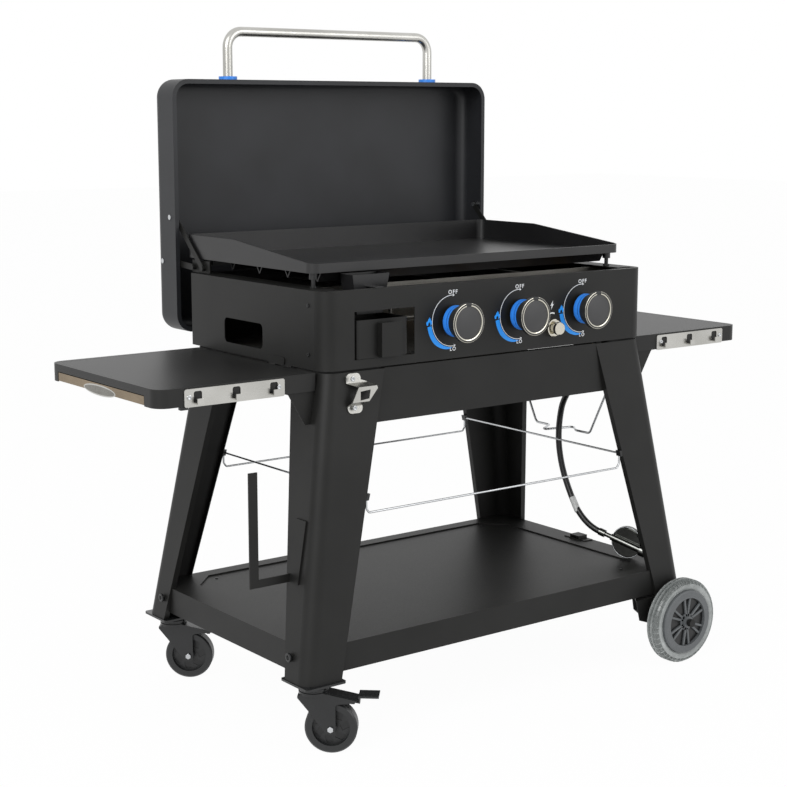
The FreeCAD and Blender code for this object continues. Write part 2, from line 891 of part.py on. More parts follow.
def make_shelf_brackets():
    """Tapering plates from each leg's side face to the shelf above it."""
    low = "shelf_top - shelf_height"
    level = f"({low} - gap)"
    plate = prism("xz", "0 - bracket_line", "wall", [
        (f"{leg_x(level)} + gap", level), (f"{leg_x('bracket_low')} + gap", "bracket_low"),
        (f"{leg_x('bracket_low')} + leg_lip", "bracket_low"), ("bracket_outer", level)])
    foot = box((f"{leg_x(level)} + leg_lip", "0 - bracket_line", f"{level} - wall"),
               ("bracket_outer", "0 - bracket_line + leg_lip", level))
    front = fuse(plate, foot)
    back = mirror(front, FRONT_BACK)
    finish("shelf_brackets", front, back, mirror(front, LEFT_RIGHT), mirror(back, LEFT_RIGHT))


# Things fixed to the front left leg

def make_towel_holder():
    """Flat upright bar on an arm, with a plate on the leg's sloping side face."""
    arm = prism("xz", "0 - towel_line", "towel_sheet", [
        ("0 - towel_bar_outer", "towel_bar_top"), ("0 - towel_bar_outer", "towel_bar_low"),
        (f"0 - {leg_x('towel_bar_low')} - gap", "towel_bar_low"),
        (f"0 - {leg_x('towel_bar_low + towel_arm_high')} - gap",
         "towel_bar_low + towel_arm_high"),
        ("0 - towel_bar_outer + towel_bar_width", "towel_bar_low + towel_arm_high"),
        ("0 - towel_bar_outer + towel_bar_width", "towel_bar_top")])
    face = [(f"0 - {leg_x(level)} - gap - {out}", level)
            for level, out in (("towel_bar_low", "0"), ("towel_plate_high", "0"),
                               ("towel_plate_high", "towel_sheet"),
                               ("towel_bar_low", "towel_sheet"))]
    plate = prism("xz", "0 - towel_plate_end",
                  "towel_plate_end - towel_line + towel_sheet", face)
    finish("towel_holder", fuse(arm, plate))


def make_bottle_opener():
    """Bent stainless opener: two ears on the leg, the claw standing proud between them."""
    near, far = "(opener_top - opener_ear)", "(opener_low + opener_lobe)"
    high, low = f"({near} - opener_bend)", f"({far} + opener_rise)"
    seats = [f"(0 - {leg_y(level)} - gap)" for level in ("opener_top", near, far, "opener_low")]
    proud = f"({seats[1]} - opener_proud)"
    side = [(seats[0], "opener_top"), (seats[1], near), (proud, high), (proud, low),
            (seats[2], far), (seats[3], "opener_low")]
    outer = [(f"{y} - opener_sheet", z) for y, z in reversed(side)]
    bend = prism("yz", "0 - opener_left", "opener_claw", side + outer)
    left = "(0 - opener_left)"
    ear, tip = f"({left} + opener_width)", f"({left} + opener_claw)"
    claw = prism("xz", f"{proud} - overcut", "opener_proud + 3 * overcut", [
        (left, near), (left, "opener_top"), (ear, "opener_top"), (ear, f"{near} + overcut"),
        (f"{tip} - opener_nose", f"{high} + opener_nose"), (tip, f"{high} - overcut"),
        (f"({ear} + {tip}) / 2 - opener_bend", low), (ear, f"{far} + opener_nose"),
        (ear, "opener_low"), (left, "opener_low"), (left, f"{far} + opener_nose"),
        (f"{left} + opener_width / 2", high)])
    ends = any_of(*[straight("y", x=x, z=z) for x in (left, ear)
                    for z in ("opener_top", "opener_low")])
    claw = rounded(claw, "opener_round", ends)
    mouth_left, mouth_right = f"{ear} - opener_width * 0.38", f"{tip} - opener_width / 2"
    mouth = prism("xz", f"{proud} - overcut", "2 * overcut", [
        (mouth_left, f"{high} - opener_rise"), (mouth_right, f"{high} - opener_bend"),
        (f"{mouth_right} - opener_nose", f"{low} + overcut"),
        (mouth_left, f"{low} + opener_nose")])
    finish("bottle_opener", cut(common(bend, claw), mouth))


# Wires

def wire_clip_place():
    """Inner face of a rear right leg's lip at the wires' level."""
    return leg_inner("wire_level"), f"({leg_y('wire_level')} - leg_lip / 2)"


def make_wires():
    """Zinc brace wires between the legs, and the clips that hold their ends."""
    inner, line = wire_clip_place()
    high, low = "(wire_level + wire_clip / 2)", "(wire_level - wire_clip / 2)"
    clip = prism("xz", f"{line} - wire_clip / 2", "wire_clip", [
        (f"{leg_inner(high)} - gap", high), (f"{leg_inner(low)} - gap", low),
        (f"{leg_inner(low)} - gap - wire_clip_thick", low),
        (f"{leg_inner(high)} - gap - wire_clip_thick", high)])
    back = mirror(clip, FRONT_BACK)
    finish("wire_clips", clip, back, mirror(clip, LEFT_RIGHT), mirror(back, LEFT_RIGHT))
    middle = f"({inner} - gap - wire_clip_thick / 2)"
    side = rod((middle, f"0 - {line} + wire_clip / 2 + gap / 3", "wire_level"),
               f"2 * ({line} - wire_clip / 2 - gap / 3)", "wire_radius", TO_Y)
    low = "wire_level - wire_drop"
    lean = f"({middle} - wire_clip_thick)"
    end = "wire_level - wire_clip / 2 - gap / 3"
    points = [spot(f"0 - {middle}", line, end), spot(f"0 - {middle}", line, f"{low} + wire_bend"),
              spot(f"0 - {lean}", line, low), spot(lean, line, low),
              spot(middle, line, f"{low} + wire_bend"), spot(middle, line, end)]
    bends = [min(number("wire_bend"), 5.0)] * 4
    rear = tube(points, bends, number("wire_radius"))
    finish("brace_wires", side, mirror(side, LEFT_RIGHT), rear, mirror(rear, FRONT_BACK))


def make_tank_hanger():
    """Bent wire that hangs from the right rail and would hold a gas bottle's collar."""
    x = f"{leg_x('hanger_high')} - wall - hanger_radius - gap"
    points = [spot(x, "0 - hanger_spread", "hanger_high"),
              spot("hanger_x", "0 - hanger_foot", "hanger_low"),
              spot("hanger_x", "0 - hanger_foot / 2", "hanger_low"),
              spot("hanger_x + hanger_out", "0 - hanger_kink", "hanger_low"),
              spot("hanger_x - hanger_in", "hanger_kink", "hanger_low"),
              spot("hanger_x", "hanger_foot / 2", "hanger_low"),
              spot("hanger_x", "hanger_foot", "hanger_low"),
              spot(x, "hanger_spread", "hanger_high")]
    bends = [number("hanger_bend")] * (len(points) - 2)
    bends[2] = bends[3] = number("hanger_bend") / 2
    finish("tank_hanger", tube(points, bends, number("hanger_radius")))


# Casters and wheels

def make_caster_plates():
    """Mounting plates with the fixed half of each swivel race, under the left legs."""
    plates = []
    for y in ("0 - caster_y", "caster_y"):
        plate = box(("0 - caster_x - caster_plate / 2", f"{y} - caster_plate / 2",
                     "foot_level - caster_plate_high"),
                    ("0 - caster_x + caster_plate / 2", f"{y} + caster_plate / 2", "foot_level"))
        plate = rounded(plate, "plate_round", straight("z"))
        race = rod(("0 - caster_x", y, "caster_race_low"),
                   "foot_level - caster_race_low - caster_plate_high / 2", "caster_race_radius")
        plates.append(fuse(plate, race))
    finish("caster_plates", *plates)


def caster_fork():
    """Fork about its own swivel axis, trailing along X: head, bridge, cheeks and axle."""
    inside = "caster_width / 2 + cheek_gap"
    top = "caster_race_low - gap"
    waist = "caster_race_radius - race_groove"
    head = turned([
        ("0", "caster_head_low"), ("caster_race_radius", "caster_head_low"),
        ("caster_race_radius", f"{top} - 9"), (waist, f"{top} - 8"), (waist, f"{top} - 6"),
        ("caster_race_radius", f"{top} - 5"), ("caster_race_radius", f"{top} - 2"),
        (waist, top), ("0", top)])
    bridge = box(("0 - caster_race_radius", f"0 - ({inside}) - cheek_sheet",
                  "caster_head_low - cheek_sheet"),
                 ("caster_race_radius", f"{inside} + cheek_sheet", "caster_head_low"))
    cheek = prism("xz", inside, "cheek_sheet", [
        ("0 - caster_race_radius", "caster_head_low"),
        ("0 - caster_race_radius", "caster_head_low - 4"),
        ("caster_trail - 40", "caster_radius + 33"), ("caster_trail - 20", "caster_radius + 6"),
        ("caster_trail - cheek_proud", "caster_radius - 8"),
        ("caster_trail", "caster_radius - 12"),
        ("caster_trail + cheek_proud", "caster_radius - 8"),
        ("caster_trail + cheek_proud", "web_low - 3"),
        ("caster_trail + cheek_proud + 3", "web_low"), ("guard_reach - 8", "web_low + 3"),
        ("guard_reach", "guard_high - guard_drop"), ("0", "guard_high")])
    wide = f"2 * ({inside} + cheek_sheet)"
    guard = prism("xz", f"0 - ({inside}) - cheek_sheet", wide, [
        ("0", "guard_high"), ("guard_reach", "guard_high - guard_drop"),
        ("guard_reach", "guard_high - guard_drop - cheek_sheet"),
        ("0", "guard_high - cheek_sheet")])
    axle = rod(("caster_trail", f"0 - ({inside}) - cheek_sheet - 4", "caster_radius"),
               f"2 * ({inside} + cheek_sheet + 4)", "caster_bore", TO_Y)
    return fuse(head, bridge, guard, cheek, mirror(cheek, FRONT_BACK), axle)


def caster_wheel():
    """Moulded wheel with slanted windows, turned about its own Z."""
    half = "caster_width / 2"
    wheel = turned([
        ("caster_bore + axle_play", f"0 - ({half}) - 2"), ("11", f"0 - ({half}) - 2"),
        ("11", "0 - 4"), ("34", "0 - 4"), ("34", f"0 - ({half})"),
        ("caster_radius - 3", f"0 - ({half})"), ("caster_radius", f"0 - ({half}) + 3"),
        ("caster_radius", f"{half} - 3"), ("caster_radius - 3", half), ("34", half),
        ("34", "4"), ("11", "4"), ("11", f"{half} + 2"),
        ("caster_bore + axle_play", f"{half} + 2")])
    return windows(wheel, [("15", "0 - 2"), ("28", "0 - 11"), ("33", "1"), ("20", "8")],
                   "window_count")


def brake_pedal():
    """Lever under the fork's guard with a pad beyond it, about its own swivel axis."""
    half = "caster_width / 2 + cheek_gap - gap"
    near = "(caster_trail + cheek_proud)"
    level = "(pedal_level - pedal_sheet)"
    tip = "(guard_high - guard_drop - cheek_sheet)"
    riser = "(guard_reach + pedal_play)"
    arm = prism("xz", "0 - pedal_arm / 2", "pedal_arm", [
        (near, "pedal_pivot + pedal_sheet / 2"), (near, "pedal_pivot - pedal_sheet / 2"),
        (f"{riser} + pedal_sheet", f"{tip} - 2 * pedal_sheet"),
        (f"{riser} + pedal_sheet", f"{level} + pedal_sheet"),
        (riser, f"{level} + pedal_sheet"), (riser, f"{tip} - pedal_sheet")])
    pad = box((riser, "0 - pedal_width / 2", level),
              ("pedal_reach", "pedal_width / 2", "pedal_level + pedal_sheet / 2"))
    hub = rod((near, f"0 - ({half})", "pedal_pivot"), f"2 * ({half})", "pedal_sheet * 1.6",
              TO_Y)
    shoe = prism("xz", "0 - pedal_arm / 4", "pedal_arm / 2", [
        ("shoe_start", f"{tip}"), ("shoe_start + pedal_sheet", "shoe_low"),
        ("shoe_end - pedal_sheet", "shoe_low"), ("shoe_end", f"{tip} - pedal_sheet")])
    return fuse(arm, pad, hub, shoe)


def make_casters():
    """Front and rear caster, each fork with its wheel and brake pedal turned as they stand."""
    fork, pedal, wheel = caster_fork(), brake_pedal(), caster_wheel()
    for place, angle, y in (("front", "front_caster_angle", "0 - caster_y"),
                            ("rear", "rear_caster_angle", "caster_y")):
        turn = Rotation(Vector(0, 0, 1), number(angle))
        across = turn.multiply(TO_Y)
        for name, shape in (("caster_fork", fork), ("brake_pedal", pedal)):
            item = group(shape)
            put(item, "0 - caster_x", y, "0", turn)
            finish(f"{name}_{place}", item)
        item = group(wheel)
        put(item, f"0 - caster_x + caster_trail * cos({angle})",
            f"{y} + caster_trail * sin({angle})", "caster_radius", across)
        finish(f"caster_wheel_{place}", item)


def make_large_wheels():
    """Two ribbed wheels on the right: grey hub with paired spokes, clear tyre."""
    back = "0 - tyre_width / 2"
    front = "tyre_width / 2"
    hub = turned([
        ("axle_radius + axle_play", back), ("boss_radius", back), ("boss_radius", "0 - 6"),
        ("hub_rim_inner", "0 - 6"), ("hub_rim_inner", back), ("tyre_inner - gap", back),
        ("tyre_inner - gap", f"{front} + hub_proud / 2"),
        ("tyre_inner - 3", f"{front} + hub_proud"), ("hub_rim_inner", f"{front} + hub_proud"),
        ("hub_rim_inner", f"{front} - 5"), ("boss_radius", f"{front} - 5"),
        ("boss_radius", f"{front} + hub_proud + 2"),
        ("axle_radius + axle_play", f"{front} + hub_proud + 2")])
    for half, middle, start in (("wide_window", "0", "spoke_inner"),
                                ("narrow_window", "180 / spoke_pairs", "slit_inner")):
        rim = [("hub_rim_inner", f"{middle} + {turn} * {half}") for turn in (-1, 0, 1)]
        inner = [(start, f"{middle} + {turn} * {half}") for turn in (1, -1)]
        corners = [(f"{radius} * cos({angle})", f"{radius} * sin({angle})")
                   for radius, angle in rim + inner]
        hub = windows(hub, corners, "spoke_pairs")
    web = turned([("boss_radius - 1", "0 - 6"), ("hub_rim_inner + 1", "0 - 6"),
                  ("hub_rim_inner + 1", "hub_back - 6"), ("boss_radius - 1", "hub_back - 6")])
    hub = fuse(hub, web)
    tyre = turned([
        ("tyre_inner", back), ("wheel_radius - 6", back), ("wheel_radius", f"{back} + 8"),
        ("wheel_radius", f"{front} - 8"), ("wheel_radius - 6", front), ("tyre_inner", front)])
    for place, y, turn in (
            ("front", "0 - tyre_face + tyre_width / 2", Rotation(Vector(1, 0, 0), 90)),
            ("rear", "tyre_face - tyre_width / 2", TO_Y)):
        for name, shape in (("wheel_hub", hub), ("wheel_tyre", tyre)):
            item = group(shape)
            put(item, "wheel_x", y, "wheel_radius", turn)
            finish(f"{name}_{place}", item)


def make_axle_brackets():
    """Channel under each right leg with the wheel's axle and its cap."""
    front, back = "0 - axle_box_front", "0 - axle_box_back"
    rear = "(axle_box_inner + axle_box_skew)"
    sides = [prism("xz", y, "wall", [
        (inner, "axle_box_top"), (f"{inner} + {lean}", "97"),
        (f"wheel_x - {foot}", "axle_box_low"), ("wheel_x + 20", "axle_box_low"),
        ("axle_box_outer", "wheel_radius + 6"), ("axle_box_outer", "axle_box_top")])
        for y, inner, lean, foot in ((front, "axle_box_inner", "11", "20"),
                                     (f"{back} - wall", rear, "8", "14"))]
    roof = prism("xy", "axle_box_top - wall", "wall", [
        ("axle_box_inner", front), ("axle_box_outer", front), ("axle_box_outer", back),
        (rear, back)])
    cap = rod(("wheel_x", "0 - axle_cap_end", "wheel_radius"), "8", "axle_cap_radius", TO_Y)
    axle = rod(("wheel_x", "0 - axle_cap_end", "wheel_radius"), "axle_cap_end - axle_end",
               "axle_radius", TO_Y)
    collar = rod(("wheel_x", f"{front} - 6", "wheel_radius"), "6", "axle_radius + 4", TO_Y)
    room = rounded(box(("axle_box_inner", front, "axle_box_low"),
                       ("axle_box_outer", back, "axle_box_top")),
                   "leg_corner", straight("z", x="axle_box_outer", y=front))
    channel = common(fuse(*sides, roof), room)
    bracket = fuse(channel, cap, axle, collar)
    finish("axle_brackets", bracket, mirror(bracket, FRONT_BACK))


# Griddle head

def make_control_panel():
    """Front panel that wraps both corners, with openings for the controls and grease box."""
    back = f"{HEAD_FRONT} + wrap_depth"
    fronts = any_of(straight("z", x=f"0 - ({HEAD_SIDE})", y=HEAD_FRONT),
                    straight("z", x=HEAD_SIDE, y=HEAD_FRONT))
    block = rounded(box((f"0 - ({HEAD_SIDE})", HEAD_FRONT, "head_bottom"),
                        (HEAD_SIDE, back, "head_top")), "panel_corner", fronts)
    inners = any_of(straight("z", x=f"0 - ({HEAD_SIDE}) + wall", y=f"{HEAD_FRONT} + wall"),
                    straight("z", x=f"{HEAD_SIDE} - wall", y=f"{HEAD_FRONT} + wall"))
    hollow = rounded(box((f"0 - ({HEAD_SIDE}) + wall", f"{HEAD_FRONT} + wall",
                          "head_bottom + wall"),
                         (f"{HEAD_SIDE} - wall", f"{back} + overcut", "head_top - wall")),
                     "panel_corner - wall", inners)
    lips = box((f"0 - ({HEAD_SIDE}) + panel_lip", f"{HEAD_FRONT} + panel_lip",
                "head_bottom - overcut"),
               (f"{HEAD_SIDE} - panel_lip", f"{back} + overcut", "head_top + overcut"))
    through = f"{HEAD_FRONT} - overcut"
    deep = "wall + 2 * overcut"
    holes = [rod((x, through, "dial_level"), deep, "stem_hole", TO_Y) for x in DIALS]
    holes.append(rod(("igniter_x", through, "igniter_level"), deep, "igniter_barrel + gap", TO_Y))
    mouth = box(("grease_left", through, "grease_low"),
                ("grease_right", f"{HEAD_FRONT} + wall + overcut", "grease_high"))
    panel = cut(block, hollow, lips, mouth, *holes)
    ledge = box(("grease_left", f"{HEAD_FRONT} + wall / 2", "grease_low - wall"),
                ("grease_right", f"{HEAD_FRONT} + box_depth", "grease_low"))
    finish("control_panel", fuse(panel, ledge))


def make_side_panels():
    """Left and right panels with a hand-hold, and flanges that the plate's feet stand on."""
    front = f"{HEAD_FRONT} + wrap_depth + gap"
    back = f"{HEAD_BACK} - wall - gap"
    outer = f"0 - ({HEAD_SIDE})"
    web = box((outer, front, "head_bottom"), (f"{outer} + wall", HEAD_BACK, "head_top"))
    top = box((outer, front, "head_top - wall"), (f"{outer} + rest_flange", back, "head_top"))
    low = box((outer, front, "head_bottom"), (f"{outer} + panel_lip", back, "head_bottom + wall"))
    fold = box((outer, front, "head_bottom"), (f"{outer} + panel_lip", f"{front} + wall",
                                               "head_top"))
    hold = rounded(box((f"{outer} - overcut", "0 - hold_front", "hold_low"),
                       (f"{outer} + wall + overcut", "hold_back", "hold_high")),
                   "hold_corner", straight("x"))
    lip = box((f"{outer} + wall / 2", "0 - hold_front + hold_corner", "hold_high"),
              (f"{outer} + panel_lip", "hold_back - hold_corner", "hold_high + wall"))
    panel = fuse(cut(fuse(web, top, low, fold), hold), lip)
    finish("left_side_panel", panel)
    finish("right_side_panel", mirror(panel, LEFT_RIGHT))


def make_rear_panel():
    """Rear panel between the side panels, lipped top and bottom."""
    side = f"({HEAD_SIDE} - wall - gap)"
    web = box((f"0 - {side}", f"{HEAD_BACK} - wall", "head_bottom"), (side, HEAD_BACK, "head_top"))
    lips = []
    for low, high, clear in (("head_top - wall", "head_top", "rest_flange"),
                             ("head_bottom", "head_bottom + wall", "panel_lip")):
        end = f"({HEAD_SIDE} - {clear} - gap)"
        lips.append(box((f"0 - {end}", f"{HEAD_BACK} - panel_lip", low), (end, HEAD_BACK, high)))
    finish("rear_panel", fuse(web, *lips))


def make_heat_shield():
    """Floor of the fire box with an upstand that the burner necks pass through."""
    side = f"({HEAD_SIDE} - wall - gap)"
    low = "head_bottom + wall + gap"
    front = "0 - baffle_line"
    floor = box((f"0 - {side}", front, low), (side, f"{HEAD_BACK} - wall - gap", f"{low} + wall"))
    stand = box((f"0 - {side}", front, low), (side, f"{front} + wall", "baffle_top"))
    holes = [rod((x, f"{front} - overcut", "burner_level"), "wall + 2 * overcut",
                 "neck_radius + gap", TO_Y) for x in BURNERS]
    finish("heat_shield", cut(fuse(floor, stand), *holes))


def make_burners():
    """Three burner tubes, each with its neck and the feed tube from its valve."""
    burners = []
    for x, dial in zip(BURNERS, DIALS):
        length = "burner_back + burner_front"
        shell = cut(rod((x, "0 - burner_front", "burner_level"), length, "burner_radius", TO_Y),
                    rod((x, "0 - burner_front + burner_sheet", "burner_level"),
                        f"{length} - 2 * burner_sheet", "burner_radius - burner_sheet", TO_Y))
        neck = rod((x, "0 - neck_front", "burner_level"), "neck_front - burner_front",
                   "neck_radius", TO_Y)
        riser = rod((x, "0 - neck_front", "dial_level"), "burner_level - dial_level",
                    "feed_radius")
        start, end = (x, dial) if number(x) < number(dial) else (dial, x)
        run = rod((f"{start}", "0 - neck_front", "dial_level"), f"({end}) - ({start})",
                  "feed_radius", TO_X)
        feed = rod((dial, "0 - outlet_end", "dial_level"), "outlet_end - neck_front",
                   "feed_radius", TO_Y)
        burners.append(fuse(shell, neck, riser, run, feed))
    finish("burner_tubes", *burners)


def make_gas_train():
    """Valves with their stems, and the manifold with the inlet elbow below it."""
    valves = []
    for x in DIALS:
        body = box((f"{x} - valve_half", "0 - valve_front", "dial_level - valve_high"),
                   (f"{x} + valve_half", "0 - valve_back", "dial_level + valve_high"))
        stem = rod((x, f"{HEAD_FRONT} - stem_reach", "dial_level"),
                   "head_depth / 2 + stem_reach - valve_front", "stem_radius", TO_Y)
        outlet = rod((x, "0 - valve_back", "dial_level"), "valve_back - outlet_end",
                     "feed_radius", TO_Y)
        valves.append(fuse(body, stem, outlet))
    finish("gas_valves", *valves)
    level = "dial_level - valve_high - gap - manifold_radius"
    line = "0 - (valve_front + valve_back) / 2"
    pipe = rod(("manifold_start", line, level), "inlet_x - manifold_start", "manifold_radius",
               TO_X)
    bend = rod(("inlet_x", line, level), f"inlet_y - ({line})", "manifold_radius", TO_Y)
    drop = rod(("inlet_x", "inlet_y", "inlet_level"), f"{level} - inlet_level",
               "manifold_radius")
    knee = doc.addObject("Part::Sphere", "Knee")
    tie(knee, Radius="manifold_radius")
    put(knee, "inlet_x", "inlet_y", level)
    finish("gas_manifold", fuse(pipe, bend, drop, knee))


def make_electrodes():
    """Spark electrode on a tab beside each burner."""
    electrodes = []
    for x in BURNERS:
        side = f"({x} + burner_radius + electrode_radius * 2)"
        pin = rod((side, "0 - burner_front + 10", "burner_level"), "electrode_length",
                  "electrode_radius", TO_Y)
        tab = box((f"{x} + burner_radius + gap", "0 - burner_front + 12", "burner_level - 4"),
                  (f"{side} + 1", "0 - burner_front + 14", "burner_level + 4"))
        electrodes.append(fuse(pin, tab))
    finish("igniter_electrodes", *electrodes)


def make_latches():
    """Notched tongues on the head's sides that sit over studs on the cart's rails."""
    outer = f"0 - ({HEAD_SIDE})"
    plate = rounded(box((f"{outer} - wall", "0 - latch_front", "latch_plate_low"),
                        (outer, "0 - latch_back", "latch_top")), "latch_round", straight("x"))
    half = "latch_tongue_width / 2"
    low = straight("x", z="latch_tongue_low")
    tongue = rounded(box((f"{outer} - wall", f"latch_pin_y - {half}", "latch_tongue_low"),
                         (outer, f"latch_pin_y + {half}", "latch_plate_low + latch_round")),
                     "latch_round", low)
    slot = "(latch_pin_radius + gap)"
    notch = box((f"{outer} - wall - overcut", f"latch_pin_y - {slot}",
                 "latch_tongue_low - overcut"),
                (f"{outer} + overcut", f"latch_pin_y + {slot}", "latch_pin_z"))
    eye = rod((f"{outer} - wall - overcut", "latch_pin_y", "latch_pin_z"), "wall + 2 * overcut",
              slot, TO_X)
    latch = cut(fuse(plate, tongue), notch, eye)
    finish("latch_brackets", latch, mirror(latch, LEFT_RIGHT))


# Knobs and igniter

def make_knobs():
    """Three round knobs: neck, skirt, body, ring and sunk face, on their valve stems."""
    shoulder = "knob_proud - knob_ring_high"
    knob = turned([
        ("stem_radius + gap", "knob_stand"), ("knob_neck_radius", "knob_stand"),
        ("knob_neck_radius", "knob_neck_high"), ("knob_skirt_radius", "knob_neck_high"),
        ("knob_skirt_radius", "knob_skirt_high"), ("knob_radius", "knob_skirt_high + 1"),
        ("knob_radius", shoulder), ("knob_ring_radius", f"{shoulder} + 1"),
        ("knob_ring_radius", "knob_proud - 1.5"), ("knob_ring_radius - 1.5", "knob_proud"),
        ("knob_ring_radius - 4", "knob_proud"),
        ("knob_ring_radius - 4", "knob_proud - knob_face_sink"),
        ("0", "knob_proud - knob_face_sink"), ("0", "stem_reach + gap"),
        ("stem_radius + gap", "stem_reach + gap")])
    for name, x in zip(("left", "middle", "right"), DIALS):
        item = group(knob)
        put(item, x, HEAD_FRONT, "dial_level", UPRIGHT_XZ)
        finish(f"knob_{name}", item)


def make_igniter():
    """Igniter housing through the panel, and the button that slides in its bore."""
    back = "0 - igniter_deep"
    base = turned([
        ("button_radius + gap", f"{back} + wall"), ("button_radius + gap", "igniter_proud"),
        ("igniter_flange - 1.5", "igniter_proud"), ("igniter_flange", "igniter_proud - 1.5"),
        ("igniter_flange", "0"), ("igniter_barrel", "0"), ("igniter_barrel", back),
        ("0", back), ("0", f"{back} + wall")])
    button = turned([
        ("0", "0"), ("button_radius", "0"), ("button_radius", "button_proud - button_head_high"),
        ("button_head", "button_proud - button_head_high"), ("button_head", "button_proud - 1.5"),
        ("button_head - 1.5", "button_proud"), ("0", "button_proud")])
    for name, shape in (("igniter_base", base), ("igniter_button", button)):
        item = group(shape)
        put(item, "igniter_x", HEAD_FRONT, "igniter_level", UPRIGHT_XZ)
        finish(name, item)


# Grease

def make_grease_box():
    """Open box that slides out at the front, with a bent sheet pull."""
    front = f"({HEAD_FRONT} + box_recess)"
    low = "grease_low + gap"
    high = f"({low} + box_height)"
    block = rounded(box(("box_left", front, low), ("box_right", f"{front} + box_depth", high)),
                    "6", any_of(straight("z", x="box_left", y=front),
                                straight("z", x="box_right", y=front)))
    hollow = box(("box_left + box_sheet", f"{front} + box_sheet", f"{low} + box_sheet"),
                 ("box_right - box_sheet", f"{front} + box_depth - box_sheet",
                  f"{high} + overcut"))
    hollow = rounded(hollow, "6 - box_sheet",
                     any_of(straight("z", x="box_left + box_sheet", y=f"{front} + box_sheet"),
                            straight("z", x="box_right - box_sheet", y=f"{front} + box_sheet")))
    stem = box(("pull_left", f"{front} - pull_proud", f"{low} + 2"),
               ("pull_left + box_sheet", f"{front} + box_sheet / 2", f"{high} - 6"))
    pull = box(("pull_left", f"{front} - pull_proud", f"{low} + 2"),
               ("pull_right", f"{front} - pull_proud + box_sheet", f"{high} - 6"))
    finish("grease_box", fuse(cut(block, hollow), stem, pull))


def make_grease_chute():
    """Tapering chute from under the plate's drain down into the grease box."""

    def ring(level, inset, grow):
        left = f"chute_left + {inset} - ({grow})"
        right = f"chute_right - {inset} + ({grow})"
        front = f"0 - chute_front + {inset} / 3 - ({grow})"
        back = f"0 - chute_back - {inset} / 3 + ({grow})"
        return put(outline([(left, front), (right, front), (right, back), (left, back)]),
                   "0", "0", level)

    skin = between(ring("chute_bottom", "chute_taper", "0"), ring("chute_top", "0", "0"))
    flue = between(ring("chute_bottom - 1", "chute_taper", "0 - box_sheet"),
                   ring("chute_top + 1", "0", "0 - box_sheet"))
    tab = box(("(chute_left + chute_right) / 2 - 10", f"{HEAD_FRONT} + 5", "head_top + gap"),
              ("(chute_left + chute_right) / 2 + 10", "0 - chute_front + 4",
               "head_top + gap + box_sheet"))
    finish("grease_chute", cut(fuse(skin, tab), flue))


# Griddle plate

def make_griddle_plate():
    """Cooking plate: high walls at the back and sides that slope to a low front lip."""
    def corners(inset):
        return any_of(*[straight("z", x=x, y=y)
                        for x in (f"0 - plate_half_x + {inset}", f"plate_half_x - {inset}")
                        for y in (f"0 - plate_front + {inset}", f"plate_back - {inset}")])

    block = rounded(box(("0 - plate_half_x", "0 - plate_front", "plate_low"),
                        ("plate_half_x", "plate_back", "plate_wall_top")),
                    "plate_corner", corners("0"))
    hollow = rounded(box(("0 - plate_half_x + plate_sheet", "0 - plate_front + plate_sheet",
                          "plate_low + plate_sheet"),
                         ("plate_half_x - plate_sheet", "plate_back - plate_sheet",
                          "plate_wall_top + overcut")),
                     "plate_corner - plate_sheet", corners("plate_sheet"))
    slope = prism("yz", "0 - plate_half_x - overcut", "2 * (plate_half_x + overcut)", [
        ("0 - plate_front - overcut", "plate_lip_top"), ("0 - plate_front + plate_sheet",
                                                         "plate_lip_top"),
        ("plate_slope_end", "plate_wall_top"),
        ("plate_slope_end", "plate_wall_top + 3 * overcut"),
        ("0 - plate_front - overcut", "plate_wall_top + 3 * overcut")])
    start = "0 - plate_front + 1.5 * plate_sheet"
    drain = box(("chute_left + chute_taper", start, "plate_low - overcut"),
                ("chute_right - chute_taper", f"{start} + drain_width",
                 "plate_low + plate_sheet + overcut"))
    finish("griddle_plate", cut(block, hollow, slope, drain))


def make_plate_underside():
    """Five folded stiffeners and four screw feet welded under the plate."""
    ribs = []
    for index in range(5):
        y = f"rib_first + {index} * rib_pitch"
        tip = "rib_sheet * 0.8"
        ribs.append(prism("yz", "0 - plate_half_x + rib_inset",
                          "2 * (plate_half_x - rib_inset)", [
            (f"{y} - rib_half_width", "plate_low"), (f"{y} - {tip}", "plate_low - rib_depth"),
            (f"{y} + {tip}", "plate_low - rib_depth"), (f"{y} + rib_half_width", "plate_low"),
            (f"{y} + rib_half_width - 2 * rib_sheet", "plate_low"),
            (y, "plate_low - rib_depth + 2 * rib_sheet"),
            (f"{y} - rib_half_width + 2 * rib_sheet", "plate_low")]))
    finish("plate_ribs", *ribs)
    feet = []
    for x in ("0 - plate_half_x + foot_inset", "plate_half_x - foot_inset"):
        for y in ("0 - foot_front", "foot_back"):
            nut = rod((x, y, "plate_low - foot_nut_high"), "foot_nut_high", "foot_nut_radius")
            pad = rod((x, y, "head_top + gap"), "foot_pad_high", "foot_pad_radius")
            screw = rod((x, y, "head_top + gap"), "plate_low - head_top - gap",
                        "foot_screw_radius")
            feet.append(fuse(nut, screw, pad))
    finish("plate_feet", *feet)


# Lid and its linkage

def lid_block(inset, extra):
    """The lid's rounded box, open towards the front, inset all round."""
    x = f"(lid_half_x - {inset})"
    low, high = f"lid_low + {inset}", f"lid_high - {inset}"
    back = f"lid_rim + lid_depth - {inset}"
    block = box((f"0 - {x}", f"lid_rim - {extra}", low), (x, back, high))
    sides = any_of(*[straight("y", x=side, z=level) for side in (f"0 - {x}", x)
                     for level in (low, high)])
    block = rounded(block, f"lid_corner - {inset}", sides)
    depth = number(back)
    return rounded(block, f"lid_back_round - {inset}",
                   lambda edge: all(abs(vertex.Point.y - depth) < 0.01
                                    for vertex in edge.Vertexes))


